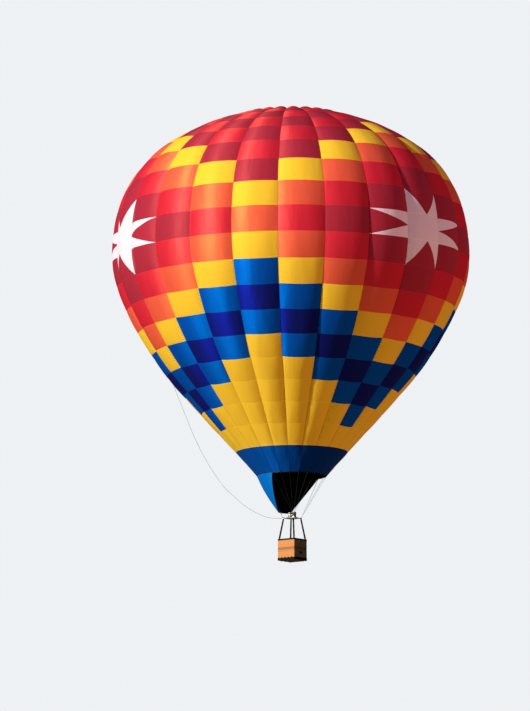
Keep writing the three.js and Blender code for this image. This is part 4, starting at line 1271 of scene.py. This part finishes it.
def make_rim():
    """Padded rim: a roll of hide over the wall's top, laced at even steps."""
    shape = Shape()
    points, normals = rounded_square(BASKET_HALF + RIM_OVERHANG - RIM / 2, BASKET_CORNER, 10, 44)
    along, whole = lengths_along(points)
    phase = along / whole * LACES
    pinch = RIM_PINCH["depth"] * np.exp(-(((phase - np.round(phase)) / RIM_PINCH["reach"]) ** 2))
    angle = turns(20)
    level = RIM_TOP - RIM / 2
    ripple = HIDE_RIPPLE * (np.sin(along * 61)[:, None] * np.sin(3 * angle) - 1)
    radius = RIM / 2 - 0.0005 - pinch[:, None] + ripple
    flat_top = np.where(np.sin(angle) > 0.86, 0.97, 1.0)
    height = level + radius * np.sin(angle) * flat_top
    shape.skin(stood_out(points[:, None], normals[:, None], radius * np.cos(angle), height), closed=True)
    wrap = RIM / 2 - 0.0035
    for lace in range(LACES):
        k = int(np.argmin(np.abs(phase - lace)))
        x, y = normals[k]
        slant = (-y * 0.012, x * 0.012, wrap)
        shape.tube(hoop((*points[k], level), (x * wrap, y * wrap, 0), slant, 20), LACE_TUBE, 6, True, 1)
    piece = shape.piece("padded_rim", ["dark_hide", "lace"], "balloon", "dark_leather", ["basket_rim"])


def make_scuff_band():
    """Hide band round the foot of the basket, with a scalloped top edge."""
    shape = Shape()
    points, normals = rounded_square(BASKET_HALF + GAP, BASKET_CORNER, 8, 60)
    along, whole = lengths_along(points)
    share = along / whole
    low = FLOOR_TOP - FLOOR
    scallops = np.abs(np.sin(math.pi * share * SCUFF["scallops"]))
    top = low + SCUFF["height"] - SCUFF["scallop"] + SCUFF["scallop"] * scallops
    rows = np.linspace(0, 1, 7)
    levels = low + (top[:, None] - low) * rows
    edge = np.array([0.35, 0.9, 1, 0.95, 1, 0.85, 0.3])
    ripple = HIDE_RIPPLE * np.sin(share * 2 * math.pi * 40)[:, None] * np.sin(rows * math.pi)
    stand = SCUFF["stand"] * edge + ripple
    faces = [stood_out(points[:, None], normals[:, None], depth, levels) for depth in (stand, stand * 0)]
    shape.skin(both_sides(*faces), closed=True)
    stitch = np.concatenate([points + normals * 0.0098, (top - 0.012)[:, None]], 1)
    shape.tube(stitch, 0.0016, 5, True, 1)
    shape.piece("scuff_hide", ["dark_hide", "lace"], "balloon", "dark_leather", ["scuff_band"])


def make_upright(name, x, y):
    """A padded cover round one upright, gathered at its straps, with a closing strip."""
    shape = Shape()
    low = np.array([x * UPRIGHT["low"], y * UPRIGHT["low"], RIM_TOP + 0.006])
    high = np.array([x * UPRIGHT["high"], y * UPRIGHT["high"], FRAME_LEVEL - 0.04 - GAP])
    share = np.linspace(0, 1, 64)
    line = low + (high - low) * share[:, None]
    radius = UPRIGHT["low_radius"] + (UPRIGHT["high_radius"] - UPRIGHT["low_radius"]) * share
    for place in UPRIGHT_STRAPS:
        radius = radius - 0.004 * np.exp(-(((share - place) / 0.014) ** 2))
    draw = np.random.default_rng(sum(map(ord, name)))
    for _ in range(5):
        wave, start = draw.uniform(14, 34), draw.uniform(0, 6)
        radius = radius + 0.0006 * np.sin(wave * share + start)
    ends = np.clip(np.minimum(share, 1 - share) / 0.012, 0, 1)
    radius = radius * (0.82 + 0.18 * np.sqrt(ends))
    shape.tube(line, radius, 24)
    way = unit(high - low)
    side = np.array([-x, -y, 0]) / math.sqrt(2)
    side = unit(side - way * side.dot(way))
    shape.tube(line[2:-2] + side * (radius[2:-2] + 0.0004)[:, None], 0.0022, 6, False, 1)
    for place in UPRIGHT_STRAPS:
        k = int(place * (len(share) - 1))
        band = radius[k] + 0.0012
        for shift in (-0.008, 0.0, 0.008):
            loop = hoop(line[k] + way * shift, band * side, band * np.cross(way, side), 24)
            shape.tube(loop, 0.0045, 6, True, 1)
    piece = shape.piece(
        f"upright_cover_{name}", ["dark_hide", "strap"], "balloon", "dark_leather", [f"upright_{name}"],
    )


def make_cylinder(name, x, y):
    """A fuel cylinder in its padded jacket, with foot ring, guard, valve and two straps."""
    radius, height, place = CYLINDER["radius"], CYLINDER["height"], CYLINDER["place"]
    low = FLOOR_TOP + GAP
    centre = (x * place, y * place, low)
    shape = Shape()
    shape.lathe(sleeve(0.108, 0.12, 0.0, 0.03), centre, 36, 1, ringed=True)
    body = [(0.02, 0.03), (0.1, 0.026), (0.122, 0.036), (radius - 0.01, 0.07), (radius - 0.002, 0.1)]
    body += [(radius - 0.001, 0.12), (radius - 0.001, 0.45), (radius - 0.003, 0.47), (radius - 0.012, 0.5)]
    body += [(0.122, 0.53), (0.1, 0.548), (0.06, 0.558), (0.02, 0.56)]
    shape.lathe(body, centre, 40, 0)
    inner, outer = radius - 0.003, radius + 0.0005
    for level in (0.16, 0.4):
        strap = [(inner, level - 0.014), (outer, level - 0.012)]
        strap += [(outer, level + 0.012), (inner, level + 0.014)]
        shape.lathe(strap, centre, 40, 2, ringed=True)
    guard = [(0.084, 0.555), (0.088, 0.555), (0.09, 0.6), (0.092, 0.616)]
    guard += [(0.089, height - 0.001), (0.085, 0.616), (0.084, 0.6)]
    shape.lathe(guard, centre, 36, 1, ringed=True)
    stem = [(0.022, 0.556), (0.022, 0.575), (0.015, 0.58), (0.015, 0.596), (0.006, 0.598)]
    wheel = [(0.006, 0.596), (0.006, 0.604), (0.026, 0.605), (0.029, 0.609), (0.026, 0.614), (0.004, 0.6145)]
    outlet = [(0.011, 0.01), (0.011, 0.045), (0.014, 0.046), (0.014, 0.058), (0.008, 0.06)]
    shape.lathe(stem, centre, 16, 3)
    shape.lathe(wheel, centre, 20, 3)
    shape.lathe(outlet, (centre[0], centre[1], low + 0.586), 14, 3, axis="X")
    materials = ["jacket_cloth", "tank_metal", "strap", "brass_metal"]
    shape.piece(f"fuel_tank_{name}", materials, "balloon", "cylinder_metal", [f"fuel_cylinder_{name}"])


# Burner
METALS = ("brushed_steel", "brass_metal")
CAN_METALS = ("can_steel", "brass_metal")
SOCKET = (
    (0.028, -0.04), (0.033, -0.038), (0.034, -0.03), (0.034, -0.02), (0.032, -0.014),
    (0.032, 0.014), (0.034, 0.02), (0.034, 0.028), (0.03, 0.034), (0.01, 0.035),
)
LUG = (
    (0.0135, FRAME_LEVEL), (0.0135, LUG_TOP - 0.028), (0.009, LUG_TOP - 0.022), (0.006, LUG_TOP - 0.018),
)
PIVOT_NUT = ((0.014, 0.191), (0.014, 0.196), (0.011, 0.199), (0.008, 0.2))
BLAST_VALVE = (
    (0.02, -0.15), (0.03, -0.147), (0.036, -0.138), (0.037, -0.12), (0.03, -0.112), (0.03, -0.095),
    (0.0375, -0.088), (0.0375, -0.045), (0.031, -0.04), (0.031, -0.02), (0.034, -0.015), (0.034, 0.0),
)
PLUG = ((0.012, 0.02), (0.012, 0.036), (0.009, 0.0375))
BOLT = ((0.008, PLATE_TOP - 0.002), (0.008, PLATE_TOP + 0.004), (0.005, PLATE_TOP + 0.0055))
CAN_LEVELS = (0, 0.014, 0.026, 0.034, 0.046, 0.054, 0.066, 0.074)
SLOT_ROWS = (1, 3, 5)
JET = ((0.004, 0), (0.004, 0.008), (0.0025, 0.01), (0.002, 0.014))
PILOT_CUP = ((0.006, 0.0), (0.006, 0.04), (0.011, 0.044), (0.011, 0.06), (0.008, 0.062))


def make_burner_frame():
    """Square frame of tube with corner sockets, eyes for the wires, and pivot brackets."""
    shape = Shape()
    for x, y in ((1, 1), (-1, 1), (-1, -1), (1, -1)):
        start = np.array([x * FRAME_HALF, y * FRAME_HALF, FRAME_LEVEL])
        end = np.array([-y * FRAME_HALF, x * FRAME_HALF, FRAME_LEVEL])
        shape.tube([start, end], FRAME_TUBE, 20)
        for share in (0.075, 0.925):
            at = start + (end - start) * share
            way = unit(end - start) * 0.014
            shape.tube([at - way, at + way], FRAME_TUBE + 0.003, 20)
        shape.lathe(SOCKET, start, 28)
        eye = np.array([x * LUG_OUT, y * LUG_OUT, 0.0])
        shape.lathe(LUG, eye, 18)
        out = np.array([x, y, 0]) / math.sqrt(2)
        shape.tube(hoop(eye + UP * (LUG_TOP - 0.01), 0.0125 * out, 0.0125 * UP, 18), 0.0045, 8, True)
    reach = FRAME_HALF - BRACKET_END
    for side in (1, -1):
        shape.block((0.03, reach, 0.022), (0, side * (BRACKET_END + reach / 2), FRAME_LEVEL), 0.004)
        shape.block((0.05, 0.012, 0.05), (0, side * (FRAME_HALF - FRAME_TUBE - 0.004), FRAME_LEVEL), 0.003)
        shape.tube([(0, side * 0.2, FRAME_LEVEL), (0, side * 0.167, FRAME_LEVEL)], PIN, 16, False, 1)
        shape.lathe([(out, side * place) for out, place in PIVOT_NUT], (0, 0, FRAME_LEVEL), 6, 1, axis="Y")
    shape.piece("frame_of_tube", METALS, "balloon", "steel", ["burner_frame"])


def make_burner_can(name, side):
    """A can of thin steel: rows of slots near its foot, two beads and a rolled lip."""
    low, radius, sides = PLATE_TOP + GAP, CAN["radius"], CAN["sides"]
    outline = [(radius, z) for z in CAN_LEVELS] + bead(radius, 0.09, 0.1) + bead(radius, 0.2, 0.21)
    outline += [(radius, 0.228)] + bead(radius - 0.001, 0.23, CAN["height"])
    centre = (side * BURNERS_APART / 2, 0, low)
    outer = lathed(outline, sides).reshape(-1, 3) + centre
    inner = lathed([(out - CAN["wall"], z) for out, z in outline], sides).reshape(-1, 3) + centre
    rows = len(outline)
    solid = np.ones((rows - 1, sides), bool)
    for i in SLOT_ROWS:
        solid[i, i // 2::3] = False
    faces = np.array(grid_faces(rows, sides, False, True)).reshape(rows - 1, sides, 4)
    shape = Shape()
    shape.shell(outer, inner, faces[solid].tolist())
    shape.piece(f"can_{name}", ["can_steel"], "burner", "steel", [f"burner_can_{name}"])


def make_burner_coil(name, side):
    """The coil that warms the fuel, with the ring of jets and the pilot's cup inside it."""
    shape = Shape()
    centre = np.array([side * BURNERS_APART / 2, 0, PLATE_TOP + GAP])
    radius = COIL["radius"]
    share = np.linspace(0, 1, COIL["turns"] * 28 + 1)
    angle = 2 * math.pi * COIL["turns"] * share
    level = COIL["low"] + COIL["rise"] * share
    coil = np.stack([radius * np.cos(angle), radius * np.sin(angle), level], -1)
    lead = np.array([(radius, 0, 0.0), (radius, 0, 0.01)])
    shape.tube(np.concatenate([lead, coil]) + centre, COIL["tube"], 12)
    top = [(0.07, 0, 0.21), (0.06, 0, 0.211), (0.05, 0, 0.205)]
    top += [(0.042, 0, 0.19), (0.042, 0, 0.045), (0.042, 0, 0)]
    shape.tube(np.concatenate([coil[-1:], top]) + centre, 0.006, 10)
    ring = hoop(centre + UP * 0.03, (JET_RING, 0, 0), (0, JET_RING, 0), 32)
    shape.tube(ring, 0.006, 8, True, 1)
    for jet in hoop(centre + UP * 0.034, (JET_RING, 0, 0), (0, JET_RING, 0), JETS):
        shape.lathe(JET, jet, 8, 1)
    shape.lathe(PILOT_CUP, centre - (0.01, 0, 0), 16, 1)
    shape.piece(f"coil_{name}", CAN_METALS, "burner", "steel", [f"burner_coil_{name}"])


def make_gimbal():
    """The ring between the frame's pins and the burner's pins, with bosses at its four holes."""
    shape = Shape()
    x, y, width, height = (GIMBAL[part] for part in ("x", "y", "width", "height"))
    for side in (1, -1):
        shape.block((2 * x + width, width, height), (0, side * y, FRAME_LEVEL), 0.004)
        shape.block((width, 2 * y - width, height), (side * x, 0, FRAME_LEVEL), 0.004)
        for axis, out in (("X", side * x), ("Y", side * y)):
            boss = sleeve(0.009, 0.0115, out - 0.0115, out + 0.0115)
            shape.lathe(boss, (0, 0, FRAME_LEVEL), 20, 1, ringed=True, axis=axis)
    shape.piece("gimbal_of_bar", METALS, "gimbal", "steel", ["gimbal_ring"])


def make_burner_base():
    """Plate, pivot bar, valve block and two blast valves with their plugs."""
    shape = Shape()
    shape.block(PLATE, (0, 0, PLATE_TOP - PLATE[2] / 2), 0.004)
    shape.block(PIVOT_BAR, (0, 0, FRAME_LEVEL), 0.004)
    shape.block((0.19, 0.09, 0.06), (0, 0, FRAME_LEVEL + 0.02), 0.006, 1)
    for side in (1, -1):
        shape.tube([(side * 0.22, 0, FRAME_LEVEL), (side * 0.268, 0, FRAME_LEVEL)], PIN, 16, False, 1)
        x = side * BURNERS_APART / 4
        shape.lathe(BLAST_VALVE, (x, 0, FRAME_LEVEL), 28, 1)
        shape.lathe(PLUG, (x, 0, FRAME_LEVEL - 0.104), 14, 1, axis="Y")
        shape.lathe([(out, -place) for out, place in PLUG], (x, 0, FRAME_LEVEL - 0.066), 6, 1, axis="Y")
        for corner in (1, -1):
            shape.lathe(BOLT, (side * 0.212, corner * 0.083, 0), 6, 1)
        shape.block((0.012, 0.03, 0.045), (side * 0.2, 0, FRAME_LEVEL + 0.03), 0.003)
    shape.piece("burner_block", METALS, "burner", "brass", ["burner_base"])


def dress_node(name, material):
    """Gives a solid of the frame its finish, with softened edges."""
    solid = frame["nodes"][name]
    solid.data.materials.clear()
    solid.data.materials.append(bpy.data.materials[material])
    edge = solid.modifiers.new("soft_edges", "BEVEL")
    edge.width = 0.004
    edge.segments = 2
    edge.limit_method = "ANGLE"


# Materials
def build_materials(scene):
    """All finishes, from the settings' colours."""
    sewn_panel_effect()
    woven_effect()
    wear_effect()
    cloth = scene.balloon_envelope
    for name, satin, look in (
        ("yellow", (0.14, 0.1, 0.013), {"shade_range": 0.05}),
        ("orange", (1.0, 0.32, 0.08), {}),
        ("red", (1.0, 0.16, 0.13), {}),
        ("maroon", (0.3, 0.06, 0.055), {}),
        ("blue", (0.0, 0.277, 1.0), {"fade": 0.2}),
        ("navy", (0.005, 0.027, 0.78), {"fade": 0.3}),
        ("white", (0.04, 0.04, 0.05), {"painted_seam_shade": 0.25, "shade_range": 0.04}),
        ("band", (0.0, 0.1, 0.45), {"painted_seam_shade": 0.6, "pucker": 0.002}),
        ("scoop", (0.02, 0.3, 0.6), {"painted_seam_shade": 0.4, "pucker": 0.002}),
        # The lining's near black is partly its own cloth and partly painted shade, and it also paints the
        # shadow under the lip.
        ("lining", (0.1, 0.1, 0.12), {"painted_seam_shade": 0.3}),
    ):
        panel_fabric(f"{name}_cloth", getattr(cloth, name), satin, **look)
    rigging = scene.balloon_rigging
    woven_material("webbing_tape", rigging.webbing, 220.0, 0.0008)
    woven_material("crown_rope", rigging.rope, 300.0, 0.0008)
    woven_material("strap", (0.03, 0.03, 0.035), 260.0, 0.0006)
    woven_material("jacket_cloth", scene.balloon_basket.jacket, 160.0, 0.0012, 0.7, **{"Sheen Weight": 0.2})
    burner = scene.balloon_burner
    brushed_material("brushed_steel", burner.steel, 0.3)
    brushed_material("can_steel", burner.steel, 0.28, stain=0.8)
    brushed_material("tank_metal", (0.66, 0.67, 0.68), 0.35, (200.0, 200.0, 8.0))
    worn_material(
        "wire_rope", (0.06, 0.055, 0.05), (0.12, 0.12, 0.12), 0.6, grain=300.0, depth=0.0002, metal=0.3,
    )
    worn_material("brass_metal", burner.brass, (0.8, 0.66, 0.36), 0.32, metal=1.0, grain=90.0, depth=0.0002)
    worn_material("lace", (0.05, 0.035, 0.025), (0.12, 0.09, 0.06), 0.6, grain=200.0)
    basket = scene.balloon_basket
    worn_material(
        "dark_hide", basket.leather, (0.035, 0.025, 0.02), 0.65, wear=0.25, grain=220.0, depth=0.0012,
        **{"Specular IOR Level": 0.1},
    )
    wicker_material("willow", basket.willow_light, basket.willow_dark)
    wood_material("floor_ply", (0.34, 0.19, 0.09), (0.2, 0.1, 0.045), (4.0, 60.0, 60.0))
    wood_material("ash_runner", (0.42, 0.27, 0.14), (0.28, 0.16, 0.075), (3.0, 70.0, 70.0))


# Stage
def build_floor(settings):
    """A pale floor at the photographer's feet; seen from below it is clear."""
    mesh = bpy.data.meshes.new("floor")
    sides = 96
    disc = polar(FLOOR_RADIUS, turns(sides), CAMERA_AT[2] - EYE_HEIGHT)
    mesh.from_pydata(disc.tolist(), [], [list(range(sides))])
    tree = start_material("floor_paint")
    surface = tree.nodes["Principled BSDF"]
    seen = node(tree, "ShaderNodeLightPath").outputs["Is Camera Ray"]
    bounce = mixed(tree, seen, with_alpha(settings.bounce), with_alpha(settings.floor))
    feed(tree, surface, {"Base Color": bounce, "Roughness": 0.9})
    clear = node(tree, "ShaderNodeBsdfTransparent").outputs[0]
    back = node(tree, "ShaderNodeNewGeometry").outputs["Backfacing"]
    both = node(tree, "ShaderNodeMixShader", {0: back, 1: surface.outputs[0], 2: clear}).outputs[0]
    feed(tree, tree.nodes["Material Output"], {"Surface": both})
    mesh.materials.append(bpy.data.materials["floor_paint"])
    floor = bpy.data.objects.new("floor", mesh)
    bpy.context.scene.collection.objects.link(floor)
    floor.visible_shadow = False


def add_sun(name, strength, colour, at, angle):
    """A lamp far off at a place, turned towards the origin."""
    data = bpy.data.lights.new(name, "SUN")
    data.energy = strength
    data.color = colour
    data.angle = angle
    lamp = bpy.data.objects.new(name, data)
    bpy.context.scene.collection.objects.link(lamp)
    lamp.location = at
    lamp.rotation_euler = (-Vector(at)).to_track_quat("-Z", "Y").to_euler()
    return lamp


def build_lights(settings):
    """The key light, and two soft ones that light the gores alone."""
    far = 100.0
    azimuth, height, colour, angle = KEY_LIGHT
    add_sun("key", settings.sun, colour, polar(far, azimuth, height), angle)
    azimuth, height, colour, angle = WARM_LIGHT
    soft = [
        add_sun("warm_fill", settings.warm, colour, polar(far, azimuth, height), angle),
        add_sun("glow_below", settings.glow, GLOW_COLOUR, (0, 0, -far), math.pi),
    ]
    gores = bpy.data.collections.new("gore_cloths")
    for piece in bpy.context.scene.objects:
        if piece.name.startswith(("cloth_gore_", "vent_valve_cloth", "load_tapes")):
            gores.objects.link(piece)
    for lamp in soft:
        lamp.light_linking.receiver_collection = gores
        lamp.data.cycles.use_multiple_importance_sampling = False
        lamp.visible_glossy = False


def build_sky(settings):
    """A pale background, a blue fill for the pieces and a paler sky for what mirrors it."""
    world = bpy.data.worlds.new("studio")
    world.use_nodes = True
    bpy.context.scene.world = world
    tree = world.node_tree
    path = node(tree, "ShaderNodeLightPath").outputs
    lit = tree.nodes["Background"]
    feed(tree, lit, {"Color": (0.0625, 0.27, 1.0, 1), "Strength": settings.fill})
    mirrored = node(tree, "ShaderNodeBackground", {"Color": (0.7, 0.8, 1.0, 1), "Strength": 0.05}).outputs[0]
    pale = node(tree, "ShaderNodeBackground", {"Color": (0.86, 0.88, 0.9, 1), "Strength": 1.0}).outputs[0]
    first = node(tree, "ShaderNodeMixShader", {0: path["Is Glossy Ray"], 1: lit.outputs[0], 2: mirrored})
    both = node(tree, "ShaderNodeMixShader", {0: path["Is Camera Ray"], 1: first.outputs[0], 2: pale})
    feed(tree, tree.nodes["World Output"], {"Surface": both.outputs[0]})
    bpy.context.scene.view_settings.view_transform = "Standard"


# Operators
class BalloonStep(bpy.types.Operator):
    """Base of the steps below"""

    bl_options = {"REGISTER", "UNDO"}


class BALLOON_OT_finishes(BalloonStep):
    """Makes the materials of every piece"""

    bl_idname = "balloon.finishes"
    bl_label = "Finishes"

    def execute(self, context):
        build_materials(context.scene)
        return {"FINISHED"}


class BALLOON_OT_camera(BalloonStep):
    """Sets the photograph's camera"""

    bl_idname = "balloon.camera"
    bl_label = "Camera"

    def execute(self, context):
        data = bpy.data.cameras.new("photo_camera")
        data.sensor_fit = "AUTO"
        data.sensor_width = SENSOR
        data.lens = LENS_PIXELS / PHOTO_HEIGHT * SENSOR
        data.clip_start = 1.0
        data.clip_end = 2000.0
        camera = bpy.data.objects.new("photo_camera", data)
        context.scene.collection.objects.link(camera)
        heading = Matrix.Rotation(-CAMERA_YAW, 4, "Z")
        pitch = Matrix.Rotation(math.pi / 2 + CAMERA_PITCH, 4, "X")
        roll = Matrix.Rotation(CAMERA_ROLL, 4, "Z")
        camera.matrix_world = Matrix.Translation(CAMERA_AT) @ heading @ pitch @ roll
        context.scene.camera = camera
        return {"FINISHED"}


class BALLOON_OT_crown_line(BalloonStep):
    """Hangs the crown line from the crown ring to the burner frame"""

    bl_idname = "balloon.crown_line"
    bl_label = "Crown line"

    def execute(self, context):
        make_crown_line()
        return {"FINISHED"}


class BALLOON_OT_gores(BalloonStep):
    """Sews the 24 gores in their pattern of panels and stars"""

    bl_idname = "balloon.gores"
    bl_label = "Gores"

    def execute(self, context):
        settings = context.scene.balloon_envelope
        for index in range(GORES):
            make_gore(index, settings)
        make_load_tapes(settings)
        return {"FINISHED"}


class BALLOON_OT_mouth(BalloonStep):
    """Adds the mouth band and the scoop"""

    bl_idname = "balloon.mouth"
    bl_label = "Mouth band and scoop"

    def execute(self, context):
        make_mouth_band(context.scene.balloon_envelope)
        make_scoop()
        return {"FINISHED"}


class BALLOON_OT_crown(BalloonStep):
    """Adds the crown's tapes and ring, and the vent's valve"""

    bl_idname = "balloon.crown"
    bl_label = "Crown and vent"

    def execute(self, context):
        make_crown(context.scene.balloon_envelope)
        make_valve(context.scene.balloon_envelope)
        return {"FINISHED"}


class BALLOON_OT_wires(BalloonStep):
    """Rigs the flying wires to the burner frame's corners"""

    bl_idname = "balloon.wires"
    bl_label = "Flying wires"

    def execute(self, context):
        for corner, (name, _, _) in enumerate(CORNERS):
            make_flying_wires(corner, name, context.scene.balloon_rigging)
        return {"FINISHED"}


class BALLOON_OT_basket(BalloonStep):
    """Weaves the basket and adds its rim, scuff band, floor and runners"""

    bl_idname = "balloon.basket"
    bl_label = "Basket"

    def execute(self, context):
        for name, turn, hole in WALLS:
            make_wall(name, turn, hole, context.scene.balloon_basket)
        make_rim()
        make_scuff_band()
        dress_node("basket_floor", "floor_ply")
        for name in ("runner_1", "runner_2", "runner_3"):
            dress_node(name, "ash_runner")
        return {"FINISHED"}


class BALLOON_OT_uprights(BalloonStep):
    """Puts the padded covers on the uprights"""

    bl_idname = "balloon.uprights"
    bl_label = "Uprights"

    def execute(self, context):
        for name, x, y in CORNERS:
            make_upright(name, x, y)
        return {"FINISHED"}


class BALLOON_OT_tanks(BalloonStep):
    """Stands the fuel cylinders in the basket's corners"""

    bl_idname = "balloon.tanks"
    bl_label = "Fuel cylinders"

    def execute(self, context):
        for name, x, y in CORNERS:
            make_cylinder(name, x, y)
        return {"FINISHED"}


class BALLOON_OT_burner(BalloonStep):
    """Builds the burner frame, the gimbal and the two burners"""

    bl_idname = "balloon.burner"
    bl_label = "Burner"

    def execute(self, context):
        make_burner_frame()
        make_gimbal()
        make_burner_base()
        for name, side in (("a", -1), ("b", 1)):
            make_burner_can(name, side)
            make_burner_coil(name, side)
        return {"FINISHED"}


class BALLOON_OT_stage(BalloonStep):
    """Sets the pale floor, the soft lights and the background"""

    bl_idname = "balloon.stage"
    bl_label = "Stage"

    def execute(self, context):
        settings = context.scene.balloon_stage
        build_floor(settings)
        build_lights(settings)
        build_sky(settings)
        return {"FINISHED"}


STEPS = (
    BALLOON_OT_finishes,
    BALLOON_OT_camera,
    BALLOON_OT_crown_line,
    BALLOON_OT_gores,
    BALLOON_OT_mouth,
    BALLOON_OT_crown,
    BALLOON_OT_wires,
    BALLOON_OT_basket,
    BALLOON_OT_uprights,
    BALLOON_OT_tanks,
    BALLOON_OT_burner,
    BALLOON_OT_stage,
)


class BALLOON_PT_sidebar(bpy.types.Panel):
    """Lists the steps in order, with their settings"""

    bl_label = "Hot Air Balloon"
    bl_idname = "BALLOON_PT_sidebar"
    bl_space_type = "VIEW_3D"
    bl_region_type = "UI"
    bl_category = "Balloon"

    def draw(self, context):
        for name, group in SETTINGS.items():
            box = self.layout.box()
            for label in group.__annotations__:
                box.prop(getattr(context.scene, name), label)
        for step in STEPS:
            self.layout.operator(step.bl_idname)


CLASSES = (*SETTINGS.values(), *STEPS, BALLOON_PT_sidebar)


def register():
    for kind in CLASSES:
        bpy.utils.register_class(kind)
    for name, group in SETTINGS.items():
        setattr(bpy.types.Scene, name, bpy.props.PointerProperty(type=group))


def unregister():
    for name in SETTINGS:
        delattr(bpy.types.Scene, name)
    for kind in reversed(CLASSES):
        bpy.utils.unregister_class(kind)


def main():
    register()
    for step in STEPS:
        area, call = step.bl_idname.split(".")
        getattr(getattr(bpy.ops, area), call)()


if __name__ == "__main__":
    main()
